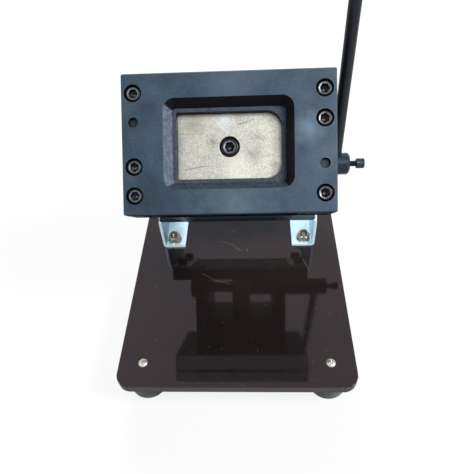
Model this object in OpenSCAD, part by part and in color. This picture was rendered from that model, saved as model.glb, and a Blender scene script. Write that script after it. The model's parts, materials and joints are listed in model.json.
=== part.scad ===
// Hand-lever card cutter: a punch and die block, tilted over a board, driven by an eccentric shaft.
// Millimetres, +Z up, +Y away from the operator. The origin is the centre of the board's underside.
// Press pieces are drawn in the press frame: x across, y up the die face, z out of the die face.

/* [Board] */
// Width of the board
board_w = 230; // [215:1:300]
// Depth of the board, front to back
board_d = 300; // [250:1:380]
// Thickness of the board
board_t = 10; // [6:0.5:18]
// Radius of the board's corners
board_r = 14; // [4:1:22]

/* [Feet] */
// Distance from a foot's centre to the board's nearest front or rear edge
foot_edge_y = 25; // [21:1:34]
// Distance from a foot's centre to the board's nearest side edge
foot_edge_x = 24; // [21:1:30]
// Height of a foot
foot_h = 30; // [20:1:45]
// Diameter of a foot where it stands
foot_d = 38; // [30:1:42]
// Diameter of a foot under the board
foot_top_d = 32; // [24:1:36]
// Thread diameter of the foot screws
foot_screw_d = 5; // [4:0.5:6]

/* [Brackets] */
// Distance from the board's rear edge to the brackets' front edges
bracket_y = 123; // [115:1:135]
// Height of the press's lower rear corner above the board
press_lift = 42; // [30:1:70]
// Thickness of the bracket sheet
sheet_t = 3; // [2:0.5:4]
// Width of a bracket flange over the bend
flange_w = 26; // [24:1:28]
// Length of the flange on the board
foot_flange_l = 84; // [72:1:95]
// Height of the flange behind the press, up from the press's lower edge
back_flange_l = 104; // [90:1:110]
// Inner radius of the sheet's bends
bend_in_r = 1; // [0.5:0.25:1.5]
// Gap between a bracket's web and the side of the press
web_gap = 1; // [0.5:0.5:3]
// Distance from a bracket's front edge to the first bolt
bolt_front = 9.5; // [9:0.5:14]
// Distance between the two bolts of a bracket
bolt_pitch = 56; // [40:1:62]
// Distance from the inner face of a bracket's web to the line of its bolts and screws
bolt_in = 9.5; // [9.5:0.5:11]
// Height of the flange screws above and below the middle of the rear plate
flange_screw_y = 30; // [24:1:36]
// Thread diameter of the bracket's bolts and screws
bolt_d = 8; // [6:1:8]

/* [Press] */
// Angle of the die face's normal above the horizontal
tilt = 47; // [40:1:55]
// Width of the die, guide and rear plates
plate_w = 170; // [164:1:180]
// Height of the die, guide and rear plates
plate_h = 112; // [108:1:130]
// Chamfer of the plates' edges
edge_c = 1; // [0.5:0.25:2]
// Thickness of the die plate
die_t = 14; // [13:0.5:18]
// Height of the slot that takes the sheet
sheet_slot = 1.5; // [1:0.1:2.5]
// Width of each spacer strip beside the slot
spacer_w = 30; // [22:1:32]
// Thickness of the guide plate
guide_t = 21; // [18:0.5:26]
// Width of the guide block and over the cheeks
block_w = 114; // [112:1:120]
// Thickness of the guide block
block_t = 45.5; // [42:0.5:54]
// Thickness of the guide block's rear wall
block_wall = 8; // [5:0.5:12]
// Thickness of a cheek
cheek_t = 15; // [13:0.5:18]
// Length of the cheeks between the guide block and the rear plate
cheek_l = 52; // [50:1:62]
// Thickness of the rear plate
rear_t = 14; // [12:0.5:18]

/* [Die] */
// Width of the card
card_w = 85.6; // [80:0.1:88]
// Height of the card
card_h = 54; // [48:0.1:56]
// Radius of the card's two rounded corners
card_r = 13; // [4:0.5:16]
// Radius of the card's two near square corners
card_small_r = 1.5; // [0.5:0.25:4]
// Width of the ledge round the card opening
ledge = 3; // [2:0.25:4]
// Depth of the sloping recess in the die face
recess_depth = 9; // [6:0.5:10]
// How much each recess wall slopes out towards the face
recess_draft = 6; // [3:0.5:7]
// Corner radius at the recess floor
recess_floor_r = 3.5; // [2:0.25:6]
// Clearance of the punch in the card opening, per side
punch_clear = 0.06; // [0.03:0.01:0.1]
// How far the punch face rests behind the sheet slot
punch_rest = 0.5; // [0.3:0.1:1.5]

/* [Drive] */
// Distance of the shaft's axis behind the cheeks' front ends
shaft_back = 33; // [31:0.5:36]
// Diameter of the shaft's right journal
shaft_d = 22; // [20:0.5:24]
// Diameter of the shaft's left journal and of its eccentric
pin_d = 14; // [12:0.5:15]
// Offset of the eccentric
ecc = 4; // [3:0.25:4.5]
// Swing of the lever in degrees
swing = 90; // [70:1:95]
// Width of the ram's tongue
tongue_w = 23.5; // [18:0.5:28]
// Height of the ram's tongue
tongue_h = 44; // [38:1:48]
// Width of the ram's body
ram_w = 89; // [87:0.5:90]
// Height of the ram's body
ram_h = 58; // [56:0.5:60]
// Length of shaft that stands out right of the cheek
shaft_reach = 59.5; // [56:0.5:70]
// Distance from the lever's axis to the shaft's right end
hub_end = 14; // [11:0.5:20]
// Wall of the flanged bushes
bush_wall = 3; // [2:0.25:4]
// Thickness of the bushes' flanges
bush_flange = 1.5; // [1:0.25:3]
// Width of the collar on the shaft's left end
collar_w = 10; // [8:0.5:13]
// Outer diameter of the collar
collar_d = 28; // [26:0.5:34]

/* [Lever] */
// Diameter of the lever
lever_d = 11; // [9:0.5:12]
// Length of the lever above the shaft's axis
lever_l = 310; // [200:5:400]
// Lean of the lever behind the vertical at rest
lever_lean = 6; // [0:1:15]
// Diameter of the ball knob
knob_d = 36; // [28:1:45]
// Diameter of the knob's neck
knob_neck_d = 18; // [15:1:22]
// Depth to which the lever enters the knob
knob_depth = 22; // [16:1:28]

/* [Fasteners] */
// Thread diameter of the die, guide and tie screws
screw_d = 8; // [6:1:8]
// Distance from the plates' side edges to the die screws
screw_edge_x = 9.5; // [9:0.5:12]
// Distance from the plates' upper and lower edges to the corner screws
screw_edge_y = 15.5; // [12:0.5:18]
// Height of the inner screws and the dowels from the middle of the plates
inner_y = 17.5; // [14:0.5:22]
// Distance from the plates' upper and lower edges to the guide and tie screws
tie_edge_y = 14; // [11:0.5:16]
// Diameter of the dowels
dowel_d = 8; // [5:0.5:8]
// Thread diameter of the screw that holds the punch
punch_screw_d = 10; // [8:1:12]
// Thread diameter of the lever's lock screw
lock_screw_d = 6; // [5:0.5:8]
// Length of the lock screw's head
lock_head_h = 8; // [5:0.5:10]
// Length of thread that shows between the shaft's end and that head
lock_neck = 7.5; // [3:0.5:10]

/* [Hidden] */

$fn = 64;
eps = 0.01;              // overlap of a cutter past the face it cuts
seat_clear = 0.02;       // radial clearance of a part seated in a bore, and of a thread
hole_clear = 0.4;        // radial clearance of a screw's through hole
run_clear = 0.04;        // radial clearance of a turning shaft
slide_clear = 0.1;       // clearance of a sliding flat
stop_gap = 0.15;         // gap left at each end of the ram's travel
slot_clear = 0.35;       // clearance of the eccentric across its slot
side_clear = 0.6;        // clearance beside the ram's tongue
head_sink = 1;           // depth of a socket head's top under its face
tip_gap = 0.5;           // gap left past the end of a screw or of the lever in its hole
over = 1;                // overrun of a through cut

// Depths behind the die face
slot_u = die_t;
guide_u = slot_u + sheet_slot;
block_u = guide_u + guide_t;
cheek_u = block_u + block_t;
rear_u = cheek_u + cheek_l;
back_u = rear_u + rear_t;
wall_u = cheek_u - block_wall;
shaft_u = cheek_u + shaft_back;

// Eccentric and ram
stroke = 2 * ecc * sin(swing / 2);
ecc_y = ecc * cos(swing / 2);
ecc_u = shaft_u + ecc * sin(swing / 2);
punch_u = guide_u + punch_rest;
ram_u = block_u + stroke + stop_gap;
ram_back_u = wall_u - stop_gap;
tongue_wall = 6;
tongue_back_u = ecc_u + pin_d / 2 + slot_clear + tongue_wall;
ecc_w = tongue_w + 2 * side_clear;
channel_w = ram_w + 2 * slide_clear;
channel_h = ram_h + 2 * slide_clear;

// Places
cheek_x = block_w / 2 - cheek_t / 2;
screw_x = plate_w / 2 - screw_edge_x;
screw_y = plate_h / 2 - screw_edge_y;
tie_y = plate_h / 2 - tie_edge_y;
web_in_x = plate_w / 2 + web_gap;
web_out_x = web_in_x + sheet_t;
bend_r = bend_in_r + sheet_t;
bolt_x = web_in_x - bolt_in;
foot_x = board_w / 2 - foot_edge_x;
foot_y = board_d / 2 - foot_edge_y;
front_y = board_d / 2 - bracket_y;
corner_z = board_t + press_lift;
face_y = front_y + plate_h / 2 * sin(tilt) - back_u * cos(tilt);
face_z = corner_z + plate_h / 2 * cos(tilt) + back_u * sin(tilt);
shaft_end_x = block_w / 2 + shaft_reach;
hub_x = shaft_end_x - hub_end;
collar_gap = 0.3;        // end play between the collar and the bush's flange
shaft_stub = 1;          // shaft that stands out of the collar
collar_x = block_w / 2 + bush_flange + collar_gap;
left_end_x = collar_x + collar_w + shaft_stub;
lever_sink = 0.6;        // depth of the lever's lower end under the shaft's surface
lever_low = shaft_d / 2 - lever_sink;
knob_neck_h = 2;         // height of the knob's neck under the ball
knob_under = knob_d / 2 + knob_neck_h;

// Standard fasteners: head and nut sizes from the thread diameter
function head_d(d) = 1.5 * d + 1;
function head_h(d) = d;
function key_w(d) = d * 0.8;
function nut_w(d) = d * 1.625;
function nut_h(d) = d * 0.81;
function bolt_head_h(d) = d * 0.66;
function washer_d(d) = 2 * d;
function washer_t(d) = d * 0.2;
function hex_d(w) = w / cos(30);
function bore_d(d) = d + 2 * seat_clear;
function hole_d(d) = d + 2 * hole_clear;
function sink_d(d) = head_d(d) + 1;
function sink_h(d) = head_h(d) + head_sink;
key_depth = 0.55;        // depth of a key socket as a share of its head's height

// Fasteners: lengths of thread, and what a foot screw or a bolt passes through
die_screw_l = 25;
tie_screw_l = 80;
guide_screw_l = 28;
flange_screw_l = 14;
punch_screw_l = 36;
dowel_l = 28;
dowel_u = 3;             // depth of the dowels' ends under the die face
set_screw_d = 5;
tie_tip_u = back_u - sink_h(screw_d) - tie_screw_l;
guide_tip_u = guide_u + sink_h(screw_d) + guide_screw_l;
foot_pad_t = 8;          // rubber between the board and the recess for a foot's nut
foot_pocket_d = 16;
foot_head_h = 2.5;
foot_washer_d = 14;
foot_washer_t = washer_t(foot_screw_d);
foot_screw_stand = 3;    // foot screw that stands out of its nut
foot_screw_l = board_t + foot_pad_t + foot_washer_t + nut_h(foot_screw_d) + foot_screw_stand;
bolt_washer_t = washer_t(bolt_d);
bolt_stand = 4.5;        // bolt that stands out of its nut
bolt_l = bolt_washer_t + board_t + sheet_t + bolt_washer_t + nut_h(bolt_d) + bolt_stand;

// Frames of the press and the shaft
module in_press() {
    translate([0, face_y, face_z]) rotate([90 - tilt, 0, 0]) children();
}
module at_u(u) {
    translate([0, 0, -u]) children();
}
module at_shaft() {
    in_press() at_u(shaft_u) children();
}
module along_x() {
    rotate([0, 90, 0]) children();
}
module at_lever() {
    at_shaft() translate([hub_x, 0, 0]) rotate([tilt - 90 - lever_lean, 0, 0]) children();
}

// Flat shapes
module chamfer_rect(w, h, c) {
    polygon([[c - w / 2, -h / 2], [w / 2 - c, -h / 2], [w / 2, c - h / 2], [w / 2, h / 2 - c],
        [w / 2 - c, h / 2], [c - w / 2, h / 2], [-w / 2, h / 2 - c], [-w / 2, c - h / 2]]);
}
module round_rect(w, h, r) {
    square([w - 2 * r, h], center = true);
    square([w, h - 2 * r], center = true);
    for (x = [-1, 1]) for (y = [-1, 1]) translate([x * (w / 2 - r), y * (h / 2 - r)]) circle(r);
}
// The card: rounded corners on the right, near square ones on the left
module card_shape(grow) {
    w = card_w + 2 * grow;
    h = card_h + 2 * grow;
    big = card_r + grow;
    small = card_small_r + grow;
    translate([-w / 2, small - h / 2]) square([w - big, h - 2 * small]);
    translate([small - w / 2, -h / 2]) square([w - big - small, h]);
    translate([-w / 2 + small, big - h / 2]) square([w - small, h - 2 * big]);
    for (y = [-1, 1]) translate([w / 2 - big, y * (h / 2 - big)]) circle(big);
    for (y = [-1, 1]) translate([small - w / 2, y * (h / 2 - small)]) circle(small);
}
// Block from z = -t to 0 with all its edges chamfered
module chamfer_block(w, h, t, c) {
    intersection() {
        translate([0, 0, -t]) linear_extrude(t) chamfer_rect(w, h, c);
        translate([-w / 2, 0, -t / 2]) rotate([90, 0, 90]) linear_extrude(w) chamfer_rect(h, t, c);
        translate([0, h / 2, -t / 2]) rotate([90, 0, 0]) linear_extrude(h) chamfer_rect(w, t, c);
    }
}

// Round parts along z
module chamfer_rod(d, l, c) {
    cylinder(h = l - c, d = d);
    translate([0, 0, l - c]) cylinder(h = c, d1 = d, d2 = d - 2 * c);
}
module ring(outer, inner, t) {
    difference() {
        cylinder(h = t, d = outer);
        translate([0, 0, -eps]) cylinder(h = t + 2 * eps, d = inner);
    }
}
// Socket head screw: the head's top at z = 0, the shank below
module socket_screw(d, l) {
    long_socket_screw(d, l, head_h(d));
}
// The same with a head of height h
module long_socket_screw(d, l, h) {
    difference() {
        union() {
            translate([0, 0, -h]) chamfer_rod(head_d(d), h, d * 0.08);
            translate([0, 0, -h]) rotate([180, 0, 0]) translate([0, 0, -eps]) chamfer_rod(d, l + eps, d * 0.1);
        }
        translate([0, 0, -h * key_depth]) cylinder(h = h, d = hex_d(key_w(d)), $fn = 6);
    }
}
// Hole for a socket screw sunk below z = 0, through a plate of thickness t
module sink_hole(d, t) {
    translate([0, 0, -t - eps]) cylinder(h = t + 2 * eps, d = hole_d(d));
    translate([0, 0, -sink_h(d)]) cylinder(h = sink_h(d) + eps, d = sink_d(d));
}
module tap_hole(d, l) {
    translate([0, 0, -l]) cylinder(h = l + eps, d = bore_d(d));
}
// Hexagon of height h whose corners are turned down at the ends marked 1
module hex_body(w, h, low, high) {
    r = hex_d(w) / 2;
    c = w * 0.06;        // height of a turned corner
    in = w * 0.1;        // and its width
    intersection() {
        cylinder(h = h, d = hex_d(w), $fn = 6);
        rotate_extrude() polygon([[0, 0], [r - low * in, 0], [r, low * c], [r, h - high * c],
            [r - high * in, h], [0, h]]);
    }
}
// Hexagon bolt: the head's upper face at z = 0, the shank above with a domed end
module hex_bolt(d, l) {
    dome = d * 0.25;
    translate([0, 0, -bolt_head_h(d)]) hex_body(nut_w(d), bolt_head_h(d), 1, 0);
    translate([0, 0, -eps]) cylinder(h = l - dome + eps, d = d);
    translate([0, 0, l - dome]) intersection() {
        cylinder(h = dome, d = d);
        translate([0, 0, dome - d * 0.625]) sphere(d * 0.625);
    }
}

// Places that repeat
module at_feet() {
    for (x = [-foot_x, foot_x]) for (y = [-foot_y, foot_y]) translate([x, y, 0]) children();
}
module at_bracket_bolts() {
    for (x = [-bolt_x, bolt_x]) for (k = [0, 1])
        translate([x, front_y + bolt_front + k * bolt_pitch, 0]) children();
}
module at_die_screws() {
    for (p = [[-1, 1], [1, 1], [-1, -1], [1, -1]]) translate([p[0] * screw_x, p[1] * screw_y, 0]) children();
    translate([-screw_x, -inner_y, 0]) children();
    translate([screw_x, inner_y, 0]) children();
}
module at_dowels() {
    translate([-screw_x, inner_y, 0]) children();
    translate([screw_x, -inner_y, 0]) children();
}
module at_ties() {
    for (x = [-cheek_x, cheek_x]) for (y = [-tie_y, tie_y]) translate([x, y, 0]) children();
}
module at_flange_screws(side) {
    for (y = [-flange_screw_y, flange_screw_y]) translate([side * bolt_x, y, 0]) children();
}

// Board and feet
module board() {
    color([0.27, 0.22, 0.24]) difference() {
        linear_extrude(board_t) round_rect(board_w, board_d, board_r);
        at_feet() translate([0, 0, -eps]) cylinder(h = board_t + 2 * eps, d = hole_d(foot_screw_d));
        at_bracket_bolts() translate([0, 0, -eps]) cylinder(h = board_t + 2 * eps, d = hole_d(bolt_d));
    }
}
module rubber_feet() {
    lip = 2;
    color([0.42, 0.44, 0.46]) at_feet() rotate_extrude() difference() {
        polygon([[0, 0], [foot_top_d / 2, 0], [foot_d / 2, lip - foot_h], [foot_d / 2 - lip, -foot_h], [0, -foot_h]]);
        translate([0, -foot_h - eps]) square([foot_pocket_d / 2, foot_h - foot_pad_t + eps]);
        translate([0, -foot_h]) square([hole_d(foot_screw_d) / 2, foot_h + eps]);
    }
}
// Pan head screws: a slice of a ball with a cross recess
module foot_screws() {
    slot = foot_screw_d * 0.22;
    reach = foot_screw_d * 0.95;
    ball = foot_screw_d * 1.15;
    color([0.8, 0.8, 0.78]) at_feet() translate([0, 0, board_t]) difference() {
        union() {
            intersection() {
                cylinder(h = foot_head_h, d = foot_screw_d * 1.9);
                translate([0, 0, foot_head_h - ball]) sphere(ball);
            }
            rotate([180, 0, 0]) translate([0, 0, -eps]) chamfer_rod(foot_screw_d, foot_screw_l + eps, 0.4);
        }
        for (turn = [0, 90]) rotate([0, 0, turn])
            translate([-reach / 2, -slot / 2, foot_head_h * 0.3]) cube([reach, slot, foot_head_h]);
    }
}
module foot_washers() {
    color([0.75, 0.75, 0.73]) at_feet() translate([0, 0, -foot_pad_t - foot_washer_t])
        ring(foot_washer_d, hole_d(foot_screw_d), foot_washer_t);
}
module foot_nuts() {
    h = nut_h(foot_screw_d);
    color([0.75, 0.75, 0.73]) at_feet() translate([0, 0, -foot_pad_t - foot_washer_t - h]) difference() {
        hex_body(nut_w(foot_screw_d), h, 1, 1);
        translate([0, 0, -eps]) cylinder(h = h + 2 * eps, d = bore_d(foot_screw_d));
    }
}

// Bent sheet bracket, drawn for the right side from outlines in the y-z plane
function press_yz(y, u) = [face_y + y * sin(tilt) + u * cos(tilt), face_z + y * cos(tilt) - u * sin(tilt)];
module bracket_outline(x, w) {
    translate([x, 0, 0]) rotate([90, 0, 90]) linear_extrude(w) children();
}
module web_outline() {
    low = -plate_h / 2;
    top = back_flange_l + low;
    heel_y = front_y + foot_flange_l;
    polygon([[front_y, board_t], press_yz(low, back_u), press_yz(top, back_u), press_yz(top, back_u + sheet_t),
        [heel_y, board_t + 2 * bend_r], [heel_y, board_t]]);
}
module bracket() {
    low = -plate_h / 2;
    top = back_flange_l + low;
    heel_y = front_y + foot_flange_l;
    flange_in_w = flange_w - sheet_t;
    difference() {
        union() {
            bracket_outline(web_in_x, sheet_t) web_outline();
            intersection() {
                bracket_outline(web_in_x - bend_in_r, bend_in_r + eps) web_outline();
                union() {
                    translate([web_in_x, front_y - over, board_t + sheet_t]) bend_fill(foot_flange_l + 2 * over);
                    in_press() translate([web_in_x, low + sheet_t, -back_u - sheet_t])
                        mirror([0, 0, 1]) bend_fill(back_flange_l);
                }
            }
            bracket_outline(web_in_x - flange_in_w, flange_in_w) polygon([[front_y, board_t],
                [front_y, board_t + sheet_t], [heel_y, board_t + sheet_t], [heel_y, board_t]]);
            bracket_outline(web_in_x - flange_in_w, flange_in_w) polygon([press_yz(low + sheet_t, back_u),
                press_yz(top, back_u), press_yz(top, back_u + sheet_t), press_yz(low + sheet_t, back_u + sheet_t)]);
        }
        translate([web_out_x - bend_r, front_y - over, board_t + bend_r]) bend_cut(foot_flange_l + 2 * over);
        in_press() translate([web_out_x - bend_r, -plate_h, -back_u - bend_r])
            mirror([0, 0, 1]) bend_cut(2 * plate_h);
        at_bracket_bolts() cylinder(h = 2 * board_t, d = hole_d(bolt_d));
        in_press() at_u(back_u) at_flange_screws(1) translate([0, 0, -2 * sheet_t])
            cylinder(h = 3 * sheet_t, d = hole_d(bolt_d));
    }
}
// Material inside a bend along y, its corner at the origin, towards -x and +z
module bend_fill(l) {
    rotate([-90, 0, 0]) linear_extrude(l) difference() {
        translate([-bend_in_r, -bend_in_r]) square(bend_in_r + eps);
        translate([-bend_in_r, -bend_in_r]) circle(bend_in_r + seat_clear);
    }
}
// Cutter that rounds a bend along y, its centre on the y axis, its corner at +x and -z.
// Its circle runs a hair outside the sheet's faces, so that it meets them at an edge and not at a tangent.
module bend_cut(l) {
    rotate([-90, 0, 0]) linear_extrude(l) difference() {
        square(bend_r + over);
        circle(bend_r + seat_clear);
    }
}
module left_bracket() {
    color([0.72, 0.8, 0.84]) mirror([1, 0, 0]) bracket();
}
module right_bracket() {
    color([0.72, 0.8, 0.84]) bracket();
}
module bracket_bolts() {
    color([0.55, 0.5, 0.42]) at_bracket_bolts() translate([0, 0, -bolt_washer_t]) hex_bolt(bolt_d, bolt_l);
}
module bracket_washers() {
    color([0.75, 0.75, 0.72]) at_bracket_bolts() {
        for (z = [-bolt_washer_t, board_t + sheet_t])
            translate([0, 0, z]) ring(washer_d(bolt_d), hole_d(bolt_d), bolt_washer_t);
    }
}
module bracket_nuts() {
    h = nut_h(bolt_d);
    color([0.55, 0.5, 0.42]) at_bracket_bolts() translate([0, 0, board_t + sheet_t + bolt_washer_t]) difference() {
        hex_body(nut_w(bolt_d), h, 1, 1);
        translate([0, 0, -eps]) cylinder(h = h + 2 * eps, d = bore_d(bolt_d));
    }
}
module flange_screws() {
    color([0.2, 0.21, 0.22]) in_press() at_u(back_u + sheet_t + head_h(bolt_d)) for (side = [-1, 1])
        at_flange_screws(side) rotate([180, 0, 0]) socket_screw(bolt_d, flange_screw_l);
}

// Frame of the press
module rear_plate() {
    color([0.25, 0.3, 0.35]) in_press() at_u(rear_u) difference() {
        chamfer_block(plate_w, plate_h, rear_t, edge_c);
        at_ties() translate([0, 0, -rear_t]) rotate([180, 0, 0]) sink_hole(screw_d, rear_t);
        for (side = [-1, 1]) at_flange_screws(side) tap_hole(bolt_d, rear_t + over);
    }
}
module cheek(side, bush_outer) {
    in_press() at_u(cheek_u) difference() {
        translate([side * cheek_x, 0, 0]) chamfer_block(cheek_t, plate_h, cheek_l, edge_c);
        translate([0, 0, -shaft_back]) along_x() translate([0, 0, -block_w])
            cylinder(h = 2 * block_w, d = bore_d(bush_outer));
        at_ties() translate([0, 0, -cheek_l - eps]) cylinder(h = cheek_l + 2 * eps, d = hole_d(screw_d));
    }
}
module left_cheek() {
    color([0.25, 0.3, 0.35]) cheek(-1, pin_d + 2 * bush_wall);
}
module right_cheek() {
    color([0.25, 0.3, 0.35]) cheek(1, shaft_d + 2 * bush_wall);
}
// Flanged bush drawn along z, its inner end at z = 0
module bush(d) {
    difference() {
        union() {
            cylinder(h = cheek_t, d = d + 2 * bush_wall);
            translate([0, 0, cheek_t]) cylinder(h = bush_flange, d = d + 4 * bush_wall);
        }
        translate([0, 0, -eps]) cylinder(h = cheek_t + bush_flange + 2 * eps, d = d + 2 * run_clear);
    }
}
module left_bush() {
    color([0.7, 0.52, 0.28]) at_shaft() translate([cheek_t - block_w / 2, 0, 0]) rotate([0, -90, 0]) bush(pin_d);
}
module right_bush() {
    color([0.7, 0.52, 0.28]) at_shaft() translate([block_w / 2 - cheek_t, 0, 0]) along_x() bush(shaft_d);
}
module tie_screws() {
    color([0.16, 0.17, 0.18]) in_press() at_u(back_u - head_sink) at_ties()
        rotate([180, 0, 0]) socket_screw(screw_d, tie_screw_l);
}
module guide_block() {
    color([0.22, 0.27, 0.32]) in_press() at_u(block_u) difference() {
        chamfer_block(block_w, plate_h, block_t, edge_c);
        translate([0, 0, (block_u - wall_u) / 2])
            cube([channel_w, channel_h, wall_u - block_u + 2 * eps], center = true);
        cube([tongue_w + 2 * side_clear, tongue_h + 2 * side_clear, 3 * block_t], center = true);
        at_ties() tap_hole(screw_d, guide_tip_u - block_u + tip_gap);
        at_ties() translate([0, 0, -block_t]) rotate([180, 0, 0]) tap_hole(screw_d, cheek_u - tie_tip_u + tip_gap);
    }
}
module guide_plate() {
    color([0.25, 0.3, 0.35]) in_press() at_u(guide_u) difference() {
        chamfer_block(plate_w, plate_h, guide_t, edge_c);
        translate([0, 0, -guide_t - eps]) linear_extrude(guide_t + 2 * eps) card_shape(0);
        at_ties() sink_hole(screw_d, guide_t);
        at_die_screws() tap_hole(screw_d, guide_t + over);
        at_dowels() tap_hole(dowel_d, guide_t + over);
    }
}
module guide_screws() {
    color([0.16, 0.17, 0.18]) in_press() at_u(guide_u + head_sink) at_ties() socket_screw(screw_d, guide_screw_l);
}
module spacer(side) {
    in_press() at_u(slot_u) difference() {
        translate([side * (plate_w - spacer_w) / 2, 0, -sheet_slot / 2])
            cube([spacer_w, plate_h, sheet_slot], center = true);
        translate([0, 0, -sheet_slot - over]) {
            at_die_screws() cylinder(h = sheet_slot + 2 * over, d = hole_d(screw_d));
            at_dowels() cylinder(h = sheet_slot + 2 * over, d = bore_d(dowel_d));
        }
    }
}
module left_spacer() {
    color([0.62, 0.63, 0.64]) spacer(-1);
}
module right_spacer() {
    color([0.62, 0.63, 0.64]) spacer(1);
}

// Recess with sloping walls and conical corners, cut down from z = 0
module recess() {
    w = card_w / 2 + ledge;
    h = card_h / 2 + ledge;
    r = recess_floor_r;
    d = recess_depth;
    up = recess_draft * eps / d;
    for (x = [-1, 1]) for (y = [-1, 1]) translate([x * (w - r), y * (h - r), -d])
        cylinder(h = d + eps, r1 = r, r2 = r + recess_draft + up);
    translate([0, h - r, 0]) rotate([90, 0, 0]) linear_extrude(2 * (h - r)) recess_side(w, d, up);
    translate([r - w, 0, 0]) rotate([90, 0, 90]) linear_extrude(2 * (w - r)) recess_side(h, d, up);
}
module recess_side(half, d, up) {
    top = half + recess_draft + up;
    polygon([[-half, -d], [half, -d], [top, eps], [-top, eps]]);
}
module die_plate() {
    color([0.28, 0.34, 0.4]) in_press() difference() {
        chamfer_block(plate_w, plate_h, die_t, edge_c);
        recess();
        translate([0, 0, -die_t - eps]) linear_extrude(die_t) card_shape(0);
        at_die_screws() sink_hole(screw_d, die_t);
        at_dowels() translate([0, 0, -die_t - over]) cylinder(h = die_t + 2 * over, d = bore_d(dowel_d));
    }
}
module die_screws() {
    color([0.12, 0.13, 0.14]) in_press() at_u(head_sink) at_die_screws() socket_screw(screw_d, die_screw_l);
}
module dowel_pins() {
    color([0.3, 0.31, 0.32]) in_press() at_u(dowel_u + dowel_l) at_dowels() chamfer_rod(dowel_d, dowel_l, 0.6);
}

// Lever, shaft and what turns with them
module eccentric_shaft() {
    color([0.2, 0.23, 0.26]) difference() {
        at_shaft() {
            translate([ecc_w / 2, 0, 0]) along_x() chamfer_rod(shaft_d, shaft_end_x - ecc_w / 2, 2);
            translate([ecc_w / 2, ecc_y, shaft_u - ecc_u]) rotate([0, -90, 0]) translate([0, 0, -eps])
                cylinder(h = ecc_w + 2 * eps, d = pin_d);
            translate([-ecc_w / 2, 0, 0]) rotate([0, -90, 0]) chamfer_rod(pin_d, left_end_x - ecc_w / 2, 1);
        }
        at_lever() translate([0, 0, -shaft_d]) cylinder(h = 2 * shaft_d, d = bore_d(lever_d));
        at_shaft() translate([hub_x, 0, 0]) along_x() cylinder(h = hub_end + over, d = bore_d(lock_screw_d));
    }
}
module shaft_collar() {
    c = 1;
    color([0.3, 0.32, 0.34]) at_shaft() translate([-collar_x, 0, 0]) rotate([0, -90, 0]) difference() {
        rotate_extrude() polygon([[0, 0], [collar_d / 2 - c, 0], [collar_d / 2, c],
            [collar_d / 2, collar_w - c], [collar_d / 2 - c, collar_w], [0, collar_w]]);
        translate([0, 0, -eps]) cylinder(h = collar_w + 2 * eps, d = bore_d(pin_d));
        translate([0, 0, collar_w / 2]) rotate([-90, 0, 0]) cylinder(h = collar_d, d = bore_d(set_screw_d));
    }
}
// Grub screw whose tip touches the shaft and whose socket end lies just under the collar's surface
module collar_screw() {
    sink = 0.7;
    tip = 0.1;
    l = (collar_d - pin_d) / 2 - sink - tip;
    color([0.16, 0.17, 0.18]) at_shaft() translate([-collar_x - collar_w / 2, pin_d / 2 + tip, 0])
        rotate([-90, 0, 0]) difference() {
            cylinder(h = l, d = set_screw_d);
            translate([0, 0, l / 2]) cylinder(h = l, d = hex_d(set_screw_d / 2), $fn = 6);
        }
}
module lever() {
    color([0.13, 0.15, 0.17]) at_lever() translate([0, 0, -lever_low])
        chamfer_rod(lever_d, lever_l + lever_low, 1);
}
// Ball on a short neck, bored for the lever's end
module lever_knob() {
    color([0.07, 0.07, 0.08]) at_lever() translate([0, 0, lever_l + knob_under - knob_depth]) difference() {
        union() {
            sphere(d = knob_d);
            translate([0, 0, -knob_under]) cylinder(h = knob_under / 2, d = knob_neck_d);
        }
        translate([0, 0, -knob_under - eps]) cylinder(h = knob_depth + tip_gap + eps, d = bore_d(lever_d));
    }
}
// Its tip clamps the lever in the hub
module lock_screw() {
    tip = lever_d / 2 + 0.05;
    color([0.14, 0.16, 0.18]) at_shaft() translate([shaft_end_x + lock_neck + lock_head_h, 0, 0])
        along_x() long_socket_screw(lock_screw_d, hub_end + lock_neck - tip, lock_head_h);
}

// Ram, which slides in the guide block, and the punch on its front
module ram() {
    color([0.45, 0.46, 0.47]) in_press() difference() {
        union() {
            at_u(ram_u) chamfer_block(ram_w, ram_h, ram_back_u - ram_u, edge_c);
            at_u(tongue_back_u) translate([-tongue_w / 2, -tongue_h / 2, 0])
                cube([tongue_w, tongue_h, tongue_back_u - ram_back_u + 1]);
        }
        at_u(ecc_u) yoke_slot();
        at_u(ram_u) tap_hole(punch_screw_d, punch_screw_l);
    }
}
// Slot for the eccentric: long enough along y for its rise and fall
module yoke_slot() {
    r = pin_d / 2 + slot_clear;
    low = ecc_y;
    high = ecc;
    translate([-tongue_w, 0, 0]) {
        for (y = [low, high]) translate([0, y, 0]) along_x() cylinder(h = 2 * tongue_w, r = r);
        translate([0, low, -r]) cube([2 * tongue_w, high - low, 2 * r]);
    }
}
module punch() {
    t = ram_u - punch_u;
    color([0.8, 0.78, 0.72]) in_press() at_u(punch_u) difference() {
        translate([0, 0, -t]) linear_extrude(t) card_shape(-punch_clear);
        sink_hole(punch_screw_d, t);
    }
}
module punch_screw() {
    color([0.12, 0.12, 0.13]) in_press() at_u(punch_u + head_sink) socket_screw(punch_screw_d, punch_screw_l);
}

board();
rubber_feet();
foot_screws();
foot_washers();
foot_nuts();
left_bracket();
right_bracket();
bracket_bolts();
bracket_washers();
bracket_nuts();
flange_screws();
rear_plate();
left_cheek();
right_cheek();
left_bush();
right_bush();
tie_screws();
guide_block();
guide_plate();
guide_screws();
left_spacer();
right_spacer();
die_plate();
die_screws();
dowel_pins();
eccentric_shaft();
shaft_collar();
collar_screw();
lever();
lever_knob();
lock_screw();
ram();
punch();
punch_screw();
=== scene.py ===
import json
import math
from functools import partial

import bmesh
import bpy
import numpy as np
from mathutils import Matrix, Vector

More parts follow.
